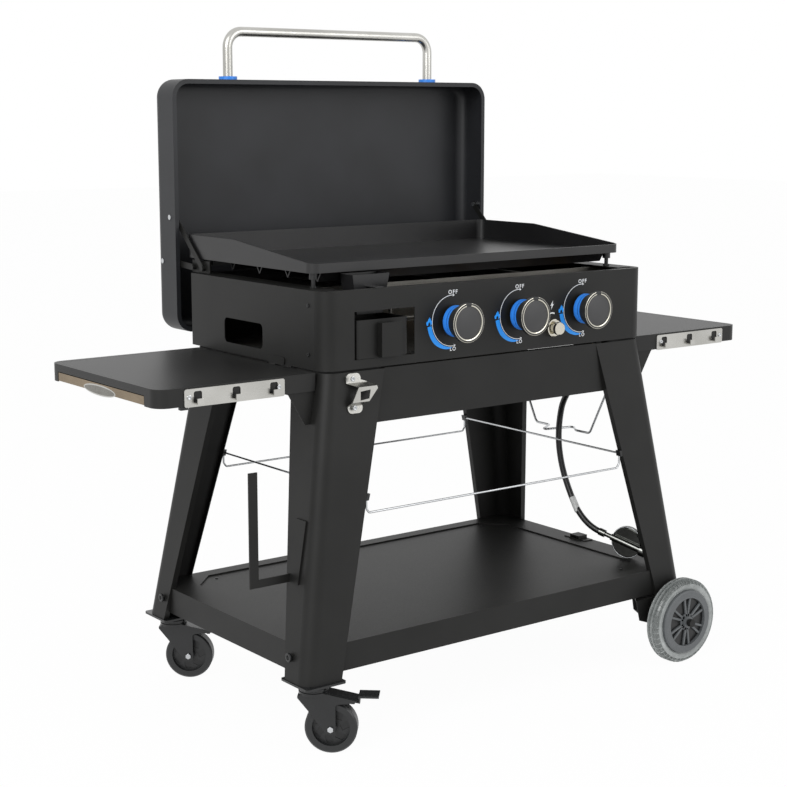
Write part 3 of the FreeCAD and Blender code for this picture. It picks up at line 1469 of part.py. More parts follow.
def make_lid():
    """Pressed lid with an inward rim flange, its tube handle and the two collars."""
    shell = cut(lid_block("0", "0"), lid_block("lid_sheet", "overcut"))
    rim = box(("0 - lid_half_x", "lid_rim", "lid_low"),
              ("lid_half_x", "lid_rim + lid_sheet", "lid_high"))
    x = "(lid_half_x - lid_flange)"
    mouth = box((f"0 - {x}", "lid_rim - overcut", "lid_low + lid_flange"),
                (x, "lid_rim + overcut", "lid_high - lid_flange"))
    mouth = rounded(mouth, "lid_corner - lid_flange", straight("y"))
    ring = common(cut(rim, mouth), lid_block("0", "0"))
    finish("lid_shell", fuse(shell, ring))
    foot = "lid_high"
    points = [spot("0 - handle_half_x", "handle_y", foot),
              spot("0 - handle_half_x", "handle_y", "handle_level"),
              spot("handle_half_x", "handle_y", "handle_level"),
              spot("handle_half_x", "handle_y", foot)]
    bends = [number("handle_bend")] * 2
    finish("lid_handle", tube(points, bends, number("handle_radius"),
                              number("handle_radius") - 1.2))
    collars = []
    for side in ("0 - handle_half_x", "handle_half_x"):
        start = (side, "handle_y", "lid_high")
        collars.append(cut(rod(start, "collar_high", "collar_radius"),
                           rod(start, "collar_high + overcut", "handle_radius + gap / 3")))
    finish("handle_collars", *collars)


def pivot_y(pin_y, pin_z):
    """Place of a head pivot, as far from its lid pin when the lid is closed as when open."""
    across, up = f"({pin_y} - turn_y)", f"({pin_z} - turn_z)"
    return f"(turn_y - (pivot_level - turn_z) * ({up} - {across}) / ({up} + {across}))"


STAY_PIVOT = pivot_y("stay_pin_y", "stay_pin_z")
LINK_PIVOT = pivot_y("link_pin_y", "link_pin_z")


def link_plate(start_y, end_y, end_z, pinned=False):
    """A flat link from a head pivot to a lid pin, with a hole or its own pin at the far end."""
    across, up = f"({end_y} - ({start_y}))", f"({end_z} - pivot_level)"
    length = f"sqrt({across} * {across} + {up} * {up})"
    half = "stay_width / 2"
    strip = box(("0", f"0 - {half}", "0"), (length, half, "stay_sheet"))
    ends = [rod((along, "0", "0"), "stay_sheet", half) for along in ("0", length)]
    holes = [rod((along, "0", "0 - overcut"), "stay_sheet + 2 * overcut",
                 "pin_radius + pin_play") for along in ("0", length)]
    plate = cut(fuse(strip, *ends), *holes[:1 if pinned else 2])
    if pinned:
        reach = "pin_meet - gap - stay_inner"
        plate = fuse(plate, rod((length, "0", "0"), reach, "pin_radius"))
    angle = math.degrees(math.atan2(number(up), number(across)))
    turn = Rotation(Vector(1, 0, 0), angle).multiply(UPRIGHT_YZ)
    item = group(plate)
    return put(item, "stay_inner", start_y, "pivot_level", turn)


def make_linkage():
    """Two long stays, two short links, their brackets on the head and rivets in the lid."""
    stay = link_plate(STAY_PIVOT, "stay_pin_y", "stay_pin_z")
    link = link_plate(LINK_PIVOT, "link_pin_y", "link_pin_z", pinned=True)
    finish("lid_stays", stay, mirror(stay, LEFT_RIGHT))
    finish("lid_links", link, mirror(link, LEFT_RIGHT))
    low = "head_top + gap"
    plate = box(("upright_inner", "upright_front", low),
                ("upright_inner + stay_sheet", "upright_back", "upright_top"))
    foot = box(("upright_inner - upright_foot", "upright_front", low),
               ("upright_inner + stay_sheet", f"{HEAD_BACK} - 2 * wall", f"{low} + wall"))
    pins = []
    for y in (STAY_PIVOT, LINK_PIVOT):
        end = "stay_inner + stay_sheet + gap"
        pins.append(rod(("upright_inner", y, "pivot_level"), f"{end} - upright_inner",
                        "pin_radius", TO_X))
        pins.append(rod((end, y, "pivot_level"), "pin_head_high", "pin_head_radius", TO_X))
        pins.append(rod(("upright_inner + stay_sheet", y, "pivot_level"),
                        "stay_inner - gap - upright_inner - stay_sheet", "pin_head_radius",
                        TO_X))
    bracket = fuse(plate, foot, *pins)
    finish("link_brackets", bracket, mirror(bracket, LEFT_RIGHT))
    rivets = []
    for y, z, start in (("stay_pin_y", "stay_pin_z", "(stay_inner - pin_head_high)"),
                        ("link_pin_y", "link_pin_z", "pin_meet")):
        shank = rod((start, y, z), f"lid_half_x + gap - {start}", "pin_radius", TO_X)
        head = rod(("lid_half_x + gap / 3", y, z), "pin_head_high", "pin_head_radius", TO_X)
        rivets.append(fuse(shank, head))
    y, z = "stay_pin_y", "stay_pin_z"
    sleeve = rod(("stay_inner + stay_sheet + gap", y, z),
                 "lid_half_x - lid_sheet - gap / 3 - stay_inner - stay_sheet - gap",
                 "pin_head_radius", TO_X)
    inside = rod(("stay_inner - pin_head_high", y, z), "pin_head_high - gap",
                 "pin_head_radius", TO_X)
    rivets[0] = fuse(rivets[0], sleeve, inside)
    finish("lid_rivets", *rivets, *[mirror(rivet, LEFT_RIGHT) for rivet in rivets])


def drill_lid():
    """Holes in the lid's sides for the rivets, made after the rivets are placed."""
    shell = next(item for item in sub_parts if item.Label == "lid_shell")
    holes = [rod(("0 - lid_half_x - overcut", y, z), "2 * (lid_half_x + overcut)",
                 "pin_radius + gap / 3", TO_X)
             for y, z in (("stay_pin_y", "stay_pin_z"), ("link_pin_y", "link_pin_z"))]
    shell.Links = [cut(shell.Links[0], *holes)]


# Hose and regulator

def regulator_frame():
    """Turn of the regulator: its barrel dips along a heading, its disc stands on edge."""
    heading = Rotation(Vector(0, 0, 1), number("regulator_heading"))
    return heading.multiply(Rotation(Vector(0, 1, 0), number("regulator_dip")))


REGULATOR_Z = "tray_top + gap / 2 + regulator_radius"


def make_regulator():
    """Disc with a barrel across it, hose fitting at one end and tank nut at the other."""
    disc = rod(("0", "0 - regulator_half", "0"), "2 * regulator_half",
               "regulator_radius - regulator_flange", TO_Y)
    rim = rod(("0", "0 - 3", "0"), "6", "regulator_radius", TO_Y)
    barrel = rod(("0 - barrel_half", "0 - barrel_offset", "0"), "2 * barrel_half",
                 "barrel_radius", TO_X)
    stem = rod(("0 - barrel_half - stem_length", "0 - barrel_offset", "0"), "stem_length + 1",
               "hose_radius - 1.5", TO_X)
    fitting = rod(("0 - barrel_half - stem_length - fitting_length", "0 - barrel_offset", "0"),
                  "fitting_length", "hose_radius + 1.5", TO_X)
    nut = rod(("barrel_half", "0 - barrel_offset", "0"), "nut_length", "nut_radius", TO_X)
    item = group(fuse(disc, rim, barrel, stem, fitting, nut))
    put(item, "regulator_x", "regulator_y", REGULATOR_Z, regulator_frame())
    finish("regulator", item)


def hose_end():
    """Where the hose meets the regulator's fitting, and the way it points there."""
    turn = regulator_frame()
    local = Vector(-number("barrel_half + stem_length + fitting_length"),
                   -number("barrel_offset"), 0)
    place = spot("regulator_x", "regulator_y", REGULATOR_Z) + turn.multVec(local)
    return place, turn.multVec(Vector(1, 0, 0))


# Corners of the hose's run between its inlet and the regulator's fitting, read off the
# photograph at depths that keep one smooth curve.
HOSE_WAY = ((346.3, -107.9, 598), (346.2, -48.5, 533), (355.5, -26.1, 480),
            (358.9, -20.8, 428), (362.8, -30.1, 373), (365.9, -51.2, 325),
            (367.5, -76, 286))


def make_hose():
    """Rubber hose from the head's inlet down to the regulator, in one lazy curve."""
    end, way = hose_end()
    start = spot("inlet_x", "inlet_y", "inlet_level - swing_gap")
    points = [start, start - Vector(0, 0, number("hose_drop")),
              *[Vector(*place) for place in HOSE_WAY],
              end - way * number("hose_lead"), end]
    radii = []
    for before, corner, after in zip(points, points[1:], points[2:]):
        back, ahead = before - corner, after - corner
        half_turn = (math.pi - back.getAngle(ahead)) / 2
        radii.append(0.45 * min(back.Length, ahead.Length) / math.tan(half_turn))
    print("hose radii", [round(radius) for radius in radii])
    print("hose runs", [round((b - a).Length) for a, b in zip(points, points[1:])])
    item = tube(points, radii, number("hose_radius"))
    print("hose length", round(corner_path(points, radii).Length))
    print("hose end", end, way)
    print("hose points", [[round(v, 1) for v in place] for place in points])
    finish("gas_hose", item)


# Fasteners

def make_cart_bolts():
    """Bolts through the legs into the tray, and the latch studs on the side rails."""
    level = "tray_top - tray_height * 0.43"
    line = "caster_y - 21"
    start = f"{TRAY_X} + gap"
    bolts = []
    for y in (f"0 - ({line})", line):
        shank = rod((start, y, level), f"{leg_x(level)} + screw_head_high / 2 - ({start})",
                    "screw_radius * 0.6", TO_X)
        seat = f"({leg_x(f'{level} - screw_radius')} + gap / 3)"
        head = rod((seat, y, level), "screw_head_high", "screw_radius", TO_X)
        bolts.append(fuse(shank, head))
    stud = rod(("leg_top_x", "latch_pin_y", "latch_pin_z"),
               f"{HEAD_SIDE} + 2 * wall - leg_top_x", "latch_pin_radius", TO_X)
    tool = [rod((start, y, level), "20", "screw_radius * 0.6 + gap / 3", TO_X)
            for y in (f"0 - ({line})", line)]
    finish("cart_bolts", *bolts, *[mirror(bolt, LEFT_RIGHT) for bolt in bolts], stud,
           mirror(stud, LEFT_RIGHT))
    for item in sub_parts:
        if item.Label.startswith("leg_"):
            tools = tool if "right" in item.Label else [mirror(t, LEFT_RIGHT) for t in tool]
            item.Links = [cut(item.Links[0], *tools)]


def check_and_write():
    """Stop on any failed object or bad shape, then write one file for each sub-part."""
    doc.recompute()
    for item in doc.Objects:
        if "Invalid" in item.State or "Error" in item.State:
            raise RuntimeError(f"{item.Label} ({item.TypeId}) failed: {item.State}")
    os.makedirs("parts", exist_ok=True)
    for item in sub_parts:
        shape = item.Shape
        if shape.isNull() or not shape.isValid() or not shape.Solids:
            raise RuntimeError(f"{item.Label} has no valid solid")
        shape.exportStep(os.path.join("parts", f"{item.Label}.step"))
    print(len(sub_parts), "sub-parts")


make_legs()
make_aprons()
make_bottom_tray()
make_tank_clip()
make_shelves()
make_pull_out_tray()
make_hook_strips()
make_shelf_brackets()
make_towel_holder()
make_bottle_opener()
make_wires()
make_tank_hanger()
make_caster_plates()
make_casters()
make_large_wheels()
make_axle_brackets()
make_control_panel()
make_side_panels()
make_rear_panel()
make_heat_shield()
make_burners()
make_gas_train()
make_electrodes()
make_latches()
make_knobs()
make_igniter()
make_grease_box()
make_grease_chute()
make_griddle_plate()
make_plate_underside()
make_lid()
make_linkage()
drill_lid()
make_regulator()
make_hose()
make_cart_bolts()
check_and_write()
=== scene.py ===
"""Looks of an outdoor gas griddle station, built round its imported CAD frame.

The frame is in metres: X to the right, Y from front to back, Z up from the floor. Sizes and
places held by the classes below are in millimetres from the cart's own middle, unless they say
otherwise, and at() and MM turn them into the frame's.
"""

from __future__ import annotations

import logging
import math
from collections.abc import Callable, Sequence
from dataclasses import dataclass, field, replace
from enum import Enum

import bpy
from mathutils import Matrix, Vector

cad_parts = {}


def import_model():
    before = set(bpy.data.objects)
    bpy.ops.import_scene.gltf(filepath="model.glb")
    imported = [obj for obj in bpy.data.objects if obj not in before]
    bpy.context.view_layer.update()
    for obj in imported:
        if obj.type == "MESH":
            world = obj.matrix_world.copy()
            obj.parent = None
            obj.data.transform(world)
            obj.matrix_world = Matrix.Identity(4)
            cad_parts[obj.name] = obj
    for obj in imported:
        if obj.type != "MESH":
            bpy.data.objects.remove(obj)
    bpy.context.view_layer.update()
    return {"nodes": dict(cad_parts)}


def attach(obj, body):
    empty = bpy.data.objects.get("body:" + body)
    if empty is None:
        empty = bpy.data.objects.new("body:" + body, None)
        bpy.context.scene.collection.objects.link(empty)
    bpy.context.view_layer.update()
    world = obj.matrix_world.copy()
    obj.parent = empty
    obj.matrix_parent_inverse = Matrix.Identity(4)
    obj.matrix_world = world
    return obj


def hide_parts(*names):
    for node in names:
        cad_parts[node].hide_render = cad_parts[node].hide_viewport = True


log = logging.getLogger("griddle_station")

Point = tuple[float, float, float]
Outline = Sequence[tuple[float, float]]

MM = 0.001
# Where the cart's middle lies in the frame.
SHIFT_X = 6.25 * MM
SHIFT_Y = -9 * MM

# Half the thickness of ink on the panel.
INK_HALF = 0.06 * MM
# Points nearer than this are one point.
WELD = 1e-6
# Edges that turn by less than this are shaded smooth.
SMOOTH = math.radians(40)
# In degrees.
FULL_TURN = 360.0
WHITE = (1.0, 1.0, 1.0, 1.0)
# Turn that makes a shape face the front that was made facing up.
TO_FRONT = (math.pi / 2, 0.0, 0.0)


class Side(Enum):
    """Left or right half of the cart, as its sign along X."""

    LEFT = -1
    RIGHT = 1


class End(Enum):
    """Front or rear half of the cart, as its sign along Y."""

    FRONT = -1
    REAR = 1


def srgb(code: str) -> tuple[float, float, float, float]:
    """Turn an sRGB hex colour into linear RGBA.

    Args:
        code: Colour such as "#2e2f33".

    Returns:
        Linear red, green, blue and an alpha of 1.
    """
    parts = [int(code[i : i + 2], 16) / 255 for i in (1, 3, 5)]
    linear = [p / 12.92 if p <= 0.04045 else ((p + 0.055) / 1.055) ** 2.4 for p in parts]
    return (linear[0], linear[1], linear[2], 1.0)


def at(x: float, y: float, z: float) -> Point:
    """Give a place in millimetres from the cart's own middle as a point of the frame."""
    return (x * MM + SHIFT_X, y * MM + SHIFT_Y, z * MM)


# Finishes


def add_node(
    tree: bpy.types.NodeTree,
    kind: str,
    settings: dict[str | int, object] | None = None,
    links: dict[str | int, bpy.types.NodeSocket] | None = None,
) -> bpy.types.Node:
    """Add one node, set it and link its inputs.

    Args:
        tree: Node tree that the node goes into.
        kind: Blender's name of the node's type.
        settings: Values by the name of a property, or by the name or number of an input.
        links: Output sockets by the name or number of the input that they feed.

    Returns:
        The new node.
    """
    node = tree.nodes.new(kind)
    for key, value in (settings or {}).items():
        if isinstance(key, int) or key in node.inputs:
            node.inputs[key].default_value = value
        else:
            setattr(node, key, value)
    for key, socket in (links or {}).items():
        tree.links.new(socket, node.inputs[key])
    return node


@dataclass(frozen=True)
class Finish:
    """A surface: two close colours, gloss, and a fine pattern of a real size.

    The pattern is stretched along an axis where the surface was brushed or rolled. The gloss
    wanders by swing to each side of roughness.
    """

    name: str
    colour: str
    worn: str
    roughness: float
    swing: float = 0.05
    grain_mm: float = 1.0
    relief_mm: float = 0.01
    metallic: float = 0.0
    stretch: Point = (1.0, 1.0, 1.0)
    sockets: dict[str, float] = field(default_factory=dict)

    def shader(self, tree: bpy.types.NodeTree) -> bpy.types.Node:
        """Add this finish's pattern and surface shader to a tree.

        Args:
            tree: Node tree of the material.

        Returns:
            The surface shader node.
        """
        place = add_node(tree, "ShaderNodeTexCoord")
        per_metre = tuple(1000 / (self.grain_mm * reach) for reach in self.stretch)
        spread = add_node(
            tree, "ShaderNodeMapping", {"Scale": per_metre}, {"Vector": place.outputs["Object"]}
        )
        grain = add_node(
            tree,
            "ShaderNodeTexNoise",
            {"Scale": 1.0, "Detail": 3.0, "Roughness": 0.6},
            {"Vector": spread.outputs["Vector"]},
        )
        broad = add_node(
            tree,
            "ShaderNodeTexNoise",
            {"Scale": 9.0, "Detail": 2.0},
            {"Vector": place.outputs["Object"]},
        )
        both = add_node(
            tree,
            "ShaderNodeMath",
            {"operation": "MULTIPLY_ADD", 1: 0.6},
            {0: grain.outputs["Fac"], 2: broad.outputs["Fac"]},
        )
        wear = add_node(
            tree,
            "ShaderNodeMapRange",
            {"From Min": 0.55, "From Max": 1.0},
            {"Value": both.outputs["Value"]},
        )
        colour = add_node(
            tree,
            "ShaderNodeMix",
            {"data_type": "RGBA", 6: srgb(self.colour), 7: srgb(self.worn)},
            {"Factor": wear.outputs["Result"]},
        )
        gloss = add_node(
            tree,
            "ShaderNodeMapRange",
            {
                "From Min": 0.3,
                "From Max": 0.7,
                "To Min": self.roughness - self.swing,
                "To Max": self.roughness + self.swing,
            },
            {"Value": grain.outputs["Fac"]},
        )
        relief = add_node(
            tree,
            "ShaderNodeBump",
            {"Strength": 1.0, "Distance": self.relief_mm * MM},
            {"Height": grain.outputs["Fac"]},
        )
        return add_node(
            tree,
            "ShaderNodeBsdfPrincipled",
            {"Metallic": self.metallic, **self.sockets},
            {
                "Base Color": colour.outputs[2],
                "Roughness": gloss.outputs["Result"],
                "Normal": relief.outputs["Normal"],
            },
        )

    def build(self) -> bpy.types.Material:
        """Make the Blender material.

        Returns:
            The material, named for this finish.
        """
        material = bpy.data.materials.new(self.name)
        material.use_nodes = True
        tree = material.node_tree
        tree.nodes.clear()
        surface = self.shader(tree)
        add_node(tree, "ShaderNodeOutputMaterial", {}, {"Surface": surface.outputs[0]})
        material.diffuse_color = srgb(self.colour)
        return material


# Powder coats. Polyester, baked on sheet steel: matt black, with an orange-peel grit that breaks
# the highlights. The real grit is about 0.5 mm, drawn at 0.9 to 1.2 mm so that it shows.
POWDER = Finish(
    "powder_coat_textured", "#141413", "#1b1b1a",
    roughness=0.46, swing=0.07, grain_mm=1.2, relief_mm=0.06,
    sockets={"Specular IOR Level": 0.25},
)
# The same coat on the shelves, a little smoother, so that they shine at a low angle.
SHELF_COAT = Finish(
    "powder_coat_satin", "#151515", "#1c1c1b",
    roughness=0.4, swing=0.06, relief_mm=0.03,
    sockets={"Specular IOR Level": 0.3},
)
# The same coat on the lid, smoother still, painted a little lighter as a sheen.
LID_COAT_PAINTED_SHEEN = Finish(
    "powder_coat_smooth", "#202123", "#28292c",
    roughness=0.42, swing=0.04, grain_mm=0.9, relief_mm=0.02,
    sockets={"Specular IOR Level": 0.3},
)
# Gloss black enamel on the casters' pressed parts: near black, with small sharp highlights that
# flow marks of about 2 mm break up.
ENAMEL = Finish(
    "gloss_black_enamel", "#141516", "#1b1c1d", roughness=0.2, swing=0.04, grain_mm=2.0
)

# Metals. Their grain is finer than the render shows and is drawn at 0.5 to 3 mm.
# Blackened screws: nearly black, with a faint sheen. Also painted shade on plates in shade.
BLACKENED = Finish("blackened_steel", "#0c0d0e", "#131415", roughness=0.35)
# Cold-rolled plate with a baked black oil finish: smooth, with soft clouds of sheen.
PLATE = Finish(
    "seasoned_steel_plate", "#121213", "#1c1c1d",
    roughness=0.34, swing=0.06, grain_mm=2.0, relief_mm=0.02,
)
# Stainless sheet and tube, brushed along X: soft lengthwise streaks.
BRUSHED = Finish(
    "brushed_stainless_steel", "#c9c8c4", "#aeada8",
    roughness=0.3, swing=0.08, grain_mm=0.5, metallic=1.0,
    stretch=(30.0, 1.0, 1.0),
)
# Stainless face of the pull-out tray, brushed along Y, with a painted warm reflection.
BRUSHED_PAINTED_REFLECTION = Finish(
    "brushed_warm_stainless", "#94846e", "#7d6f5c",
    roughness=0.34, swing=0.08, grain_mm=0.5, metallic=1.0,
    stretch=(1.0, 30.0, 1.0),
)
# Burner tube and inner sheet, mill finish: dull grey, clouded by heat.
MILL = Finish(
    "mill_finish_steel", "#8e8d88", "#77746e",
    roughness=0.42, swing=0.06, grain_mm=3.0, metallic=1.0,
)
# Bright zinc plate on wire and screws: a cool, slightly blurred shine.
ZINC = Finish(
    "bright_zinc_plate", "#cfd1d3", "#b4b6b8", roughness=0.24, grain_mm=1.5, metallic=1.0
)
# Chromium plate: mirror-like, with a painted warm reflection as its tint.
CHROME = Finish(
    "chromium_plate", "#dad6ca", "#c9c5b8",
    roughness=0.14, swing=0.03, grain_mm=3.0, relief_mm=0.004, metallic=1.0,
)
# Polished casting of the regulator: a grey mirror with slow waves of about 9 mm.
DARK_CHROME = Finish(
    "polished_dark_casting", "#7c7d7b", "#5f605d",
    roughness=0.16, grain_mm=9.0, relief_mm=0.02, metallic=1.0,
)
# Machined brass: warm yellow, with soft highlights along the turning.
BRASS = Finish("machined_brass", "#b08a4a", "#9c7a42", roughness=0.3, metallic=1.0)

# Mouldings and rubber. The spark-eroded grain of a mould is 0.1 to 0.3 mm, drawn at 0.6 to 0.8.
# Moulded polyamide: even black with a fine grain and a broad sheen.
NYLON = Finish(
    "moulded_black_polyamide", "#191a1b", "#202122", roughness=0.4, grain_mm=0.6, relief_mm=0.02
)
# Moulded ABS in azure: clear even colour with a soft highlight.
AZURE = Finish("moulded_azure_abs", "#2a7fe4", "#358aec", roughness=0.34, swing=0.04, grain_mm=0.6)
# The same ABS in the groove of a knob's collar, painted darker as the shade there.
AZURE_PAINTED_SHADE = Finish(
    "moulded_azure_abs_deep", "#1c5cb4", "#2264be", roughness=0.34, swing=0.04, grain_mm=0.6
)
# Moulded face of a knob: dark grey, with a soft grain that spreads the light.
KNOB_FACE = Finish(
    "moulded_grey_face", "#2b2b2c", "#353536", roughness=0.5, grain_mm=0.8, relief_mm=0.02
)
# Moulded polypropylene wheel hub: mid grey, slightly waxy.
HUB = Finish(
    "moulded_grey_polypropylene", "#55585a", "#5e6163",
    roughness=0.42, grain_mm=0.8, relief_mm=0.02,
)
# Extruded nitrile hose: black with a long soft highlight.
RUBBER = Finish(
    "extruded_black_rubber", "#121213", "#181819", roughness=0.32, swing=0.04, grain_mm=0.8
)
# Vinyl sleeve on the hose, left blank: white with a soft sheen and creases of about 3 mm.
SLEEVE = Finish("white_vinyl_sleeve", "#d8dad9", "#e6e7e6", roughness=0.4, grain_mm=3.0)
# Cast clear vinyl of a tyre: grey, cloudy, and glossy where light passes through its edge. The
# clouds are about 12 mm across.
VINYL = Finish(
    "cast_clear_vinyl", "#8a8e8d", "#b6bab9",
    roughness=0.16, swing=0.06, grain_mm=12.0, relief_mm=0.12,
    sockets={"IOR": 1.5, "Transmission Weight": 0.1},
)
# The same vinyl on the floor of the tyre's cells, painted darker as their shade.
VINYL_CELL_PAINTED_SHADE = Finish(
    "cast_clear_vinyl_cell", "#5f6362", "#7e8281",
    roughness=0.2, swing=0.06, grain_mm=12.0, relief_mm=0.08,
)

# Inks and ceramic, with a grain too fine to see.
# Screen-printed inks on the panel: flat even colour, a little matt.
AZURE_INK = Finish(
    "printed_azure_ink", "#1f8fee", "#2496f2",
    roughness=0.45, swing=0.03, grain_mm=0.4, relief_mm=0.005,
)
WHITE_INK = Finish(
    "printed_white_ink", "#d9dbdc", "#e2e4e5",
    roughness=0.5, swing=0.03, grain_mm=0.4, relief_mm=0.005,
)
# Glazed alumina: off-white with a glassy shine.
CERAMIC = Finish(
    "glazed_white_ceramic", "#dcdad2", "#e4e2dc", roughness=0.3, swing=0.03, relief_mm=0.005
)


class Palette:
    """The finishes as Blender materials, each made once."""

    def __init__(self) -> None:
        """Start with no material made."""
        self.made: dict[str, bpy.types.Material] = {}

    def get(self, finish: Finish) -> bpy.types.Material:
        """Give a finish's material.

        Args:
            finish: The finish.

        Returns:
            Its material, made on the first call.
        """
        if finish.name not in self.made:
            self.made[finish.name] = finish.build()
        return self.made[finish.name]

    def paint(self, piece: bpy.types.Object, finish: Finish) -> None:
        """Give a piece one finish all over.

        Args:
            piece: Mesh or curve.
            finish: The finish.
        """
        piece.data.materials.clear()
        piece.data.materials.append(self.get(finish))


# Modelling


def deselect() -> None:
    """Leave nothing selected and no object in edit mode."""
    if bpy.context.object and bpy.context.object.mode != "OBJECT":
        bpy.ops.object.mode_set(mode="OBJECT")
    bpy.ops.object.select_all(action="DESELECT")


def select_only(piece: bpy.types.Object) -> None:
    """Select one object and make it the active one.

    Args:
        piece: The object.
    """
    deselect()
    bpy.context.view_layer.objects.active = piece
    piece.select_set(True)


def settle(name: str) -> bpy.types.Object:
    """Name the active object and move its place into its mesh.

    Args:
        name: Name for the piece.

    Returns:
        The piece, with its object at the origin.
    """
    piece = bpy.context.object
    piece.name = name
    piece.data.name = name
    bpy.ops.object.transform_apply(location=True, rotation=True, scale=True)
    return piece


def add_disc(name: str, centre: Point, radius: float, depth: float) -> bpy.types.Object:
    """Add a disc that faces the front.

    Args:
        name: Name for the piece.
        centre: Its middle.
        radius: Its radius.
        depth: Its thickness.

    Returns:
        The piece.
    """
    deselect()
    bpy.ops.mesh.primitive_cylinder_add(
        vertices=48, radius=radius, depth=depth, location=centre, rotation=TO_FRONT
    )
    return settle(name)


def add_bar(
    name: str, start: Point, end: Point, radius: float, sides: int = 24
) -> bpy.types.Object:
    """Add a round or six-sided bar between two points.

    Args:
        name: Name for the piece.
        start: Middle of one end.
        end: Middle of the other end.
        radius: Its radius.
        sides: Number of flats round it.

    Returns:
        The piece.
    """
    deselect()
    way = Vector(end) - Vector(start)
    bpy.ops.mesh.primitive_cylinder_add(
        vertices=sides,
        radius=radius,
        depth=way.length,
        location=(Vector(start) + Vector(end)) / 2,
        rotation=way.to_track_quat("Z", "Y").to_euler(),
    )
    return settle(name)


def add_block(name: str, low: Point, high: Point) -> bpy.types.Object:
    """Add a block between two corners.

    Args:
        name: Name for the piece.
        low: Lowest corner.
        high: Highest corner.

    Returns:
        The piece.
    """
    deselect()
    centre = [(a + b) / 2 for a, b in zip(low, high)]
    bpy.ops.mesh.primitive_cube_add(size=1, location=centre)
    bpy.context.object.scale = [b - a for a, b in zip(low, high)]
    return settle(name)


def bevel(piece: bpy.types.Object, width: float) -> bpy.types.Object:
    """Round a piece's sharp edges and shade it smooth.

    Args:
        piece: Mesh.
        width: Width of the rounding.

    Returns:
        The same piece.
    """
    select_only(piece)
    edge = piece.modifiers.new("Edge", "BEVEL")
    edge.width = width
    edge.segments = 2
    edge.limit_method = "ANGLE"
    edge.angle_limit = SMOOTH
    bpy.ops.object.modifier_apply(modifier=edge.name)
    bpy.ops.object.shade_smooth_by_angle(angle=SMOOTH)
    return piece


def pick_faces(piece: bpy.types.Object, wanted: Callable[[Vector, Vector], bool]) -> None:
    """Open a piece in edit mode with the faces selected that a test picks.

    Args:
        piece: Mesh.
        wanted: Test of a face's centre and normal.
    """
    select_only(piece)
    bpy.ops.object.mode_set(mode="EDIT")
    bpy.ops.mesh.select_mode(type="FACE")
    bpy.ops.mesh.select_all(action="DESELECT")
    bpy.ops.object.mode_set(mode="OBJECT")
    for face in piece.data.polygons:
        face.select = wanted(face.center, face.normal)
    bpy.ops.object.mode_set(mode="EDIT")


def spin_and_weld(centre: Point, steps: int, sweep: float) -> None:
    """Spin what is selected in edit mode about the line through a centre along Y.

    Args:
        centre: Point on the line.
        steps: Number of steps in the sweep.
        sweep: Angle that is covered, in radians.
    """
    bpy.ops.mesh.spin(steps=steps, angle=sweep, center=centre, axis=(0.0, 1.0, 0.0))
    bpy.ops.mesh.select_all(action="SELECT")
    bpy.ops.mesh.remove_doubles(threshold=WELD)
    bpy.ops.mesh.normals_make_consistent(inside=False)
    bpy.ops.object.mode_set(mode="OBJECT")


def add_ring(
    name: str,
    centre: Point,
    inner: float,
    outer: float,
    depth: float,
    start: float = 0.0,
    sweep: float = FULL_TURN,
    steps: int = 64,
) -> bpy.types.Object:
    """Add a flat ring, or a part of one, that faces the front.

    Args:
        name: Name for the piece.
        centre: Middle of the ring.
        inner: Inner radius.
        outer: Outer radius.
        depth: Thickness along Y.
        start: Angle of its start in degrees, 0 to the right and 90 up.
        sweep: Angle that it covers, anticlockwise as seen from the front.
        steps: Number of steps in the sweep.

    Returns:
        The piece.
    """
    deselect()
    middle = (inner + outer) / 2
    angle = math.radians(start)
    place = (
        centre[0] + middle * math.cos(angle),
        centre[1],
        centre[2] + middle * math.sin(angle),
    )
    bpy.ops.mesh.primitive_plane_add(size=1, location=place, rotation=(0.0, -angle, 0.0))
    bpy.context.object.scale = (outer - inner, depth, 1.0)
    piece = settle(name)
    pick_faces(piece, lambda _centre, _normal: True)
    spin_and_weld(centre, steps, math.radians(sweep))
    return piece


def draw_outline(name: str, centre: Point, corners: Outline) -> bpy.types.Object:
    """Draw a closed outline of straight lines, and leave it selected.

    Args:
        name: Name for the piece.
        centre: Where the outline's own zero lies.
        corners: Corners in millimetres along its own X and Y.

    Returns:
        The curve.
    """
    curve = bpy.data.curves.new(name, "CURVE")
    spline = curve.splines.new("POLY")
    spline.points.add(len(corners) - 1)
    for point, (across, along) in zip(spline.points, corners):
        point.co = (across * MM, along * MM, 0.0, 1.0)
    spline.use_cyclic_u = True
    shape = bpy.data.objects.new(name, curve)
    bpy.context.scene.collection.objects.link(shape)
    shape.location = centre
    select_only(shape)
    return shape


def add_flat(name: str, centre: Point, corners: Outline) -> bpy.types.Object:
    """Add a thin flat shape that faces the front.

    Args:
        name: Name for the piece.
        centre: Where the outline's own zero lies.
        corners: Corners as millimetres to the right and up.

    Returns:
        The piece.
    """
    shape = draw_outline(name, centre, corners)
    shape.data.dimensions = "2D"
    shape.data.fill_mode = "BOTH"
    shape.data.extrude = INK_HALF
    shape.rotation_euler = TO_FRONT
    bpy.ops.object.convert(target="MESH")
    return settle(name)


def add_turned(name: str, centre: Point, profile: Outline, steps: int) -> bpy.types.Object:
    """Turn a closed profile about the line through a centre along Y.

    Args:
        name: Name for the piece.
        centre: Middle of the piece.
        profile: Corners as radius and place along Y, in millimetres.
        steps: Number of steps round it.

    Returns:
        The piece.
    """
    draw_outline(name, centre, profile).data.dimensions = "3D"
    bpy.ops.object.convert(target="MESH")
    piece = settle(name)
    bpy.ops.object.mode_set(mode="EDIT")
    bpy.ops.mesh.select_all(action="SELECT")
    spin_and_weld(centre, steps, 2 * math.pi)
    return piece


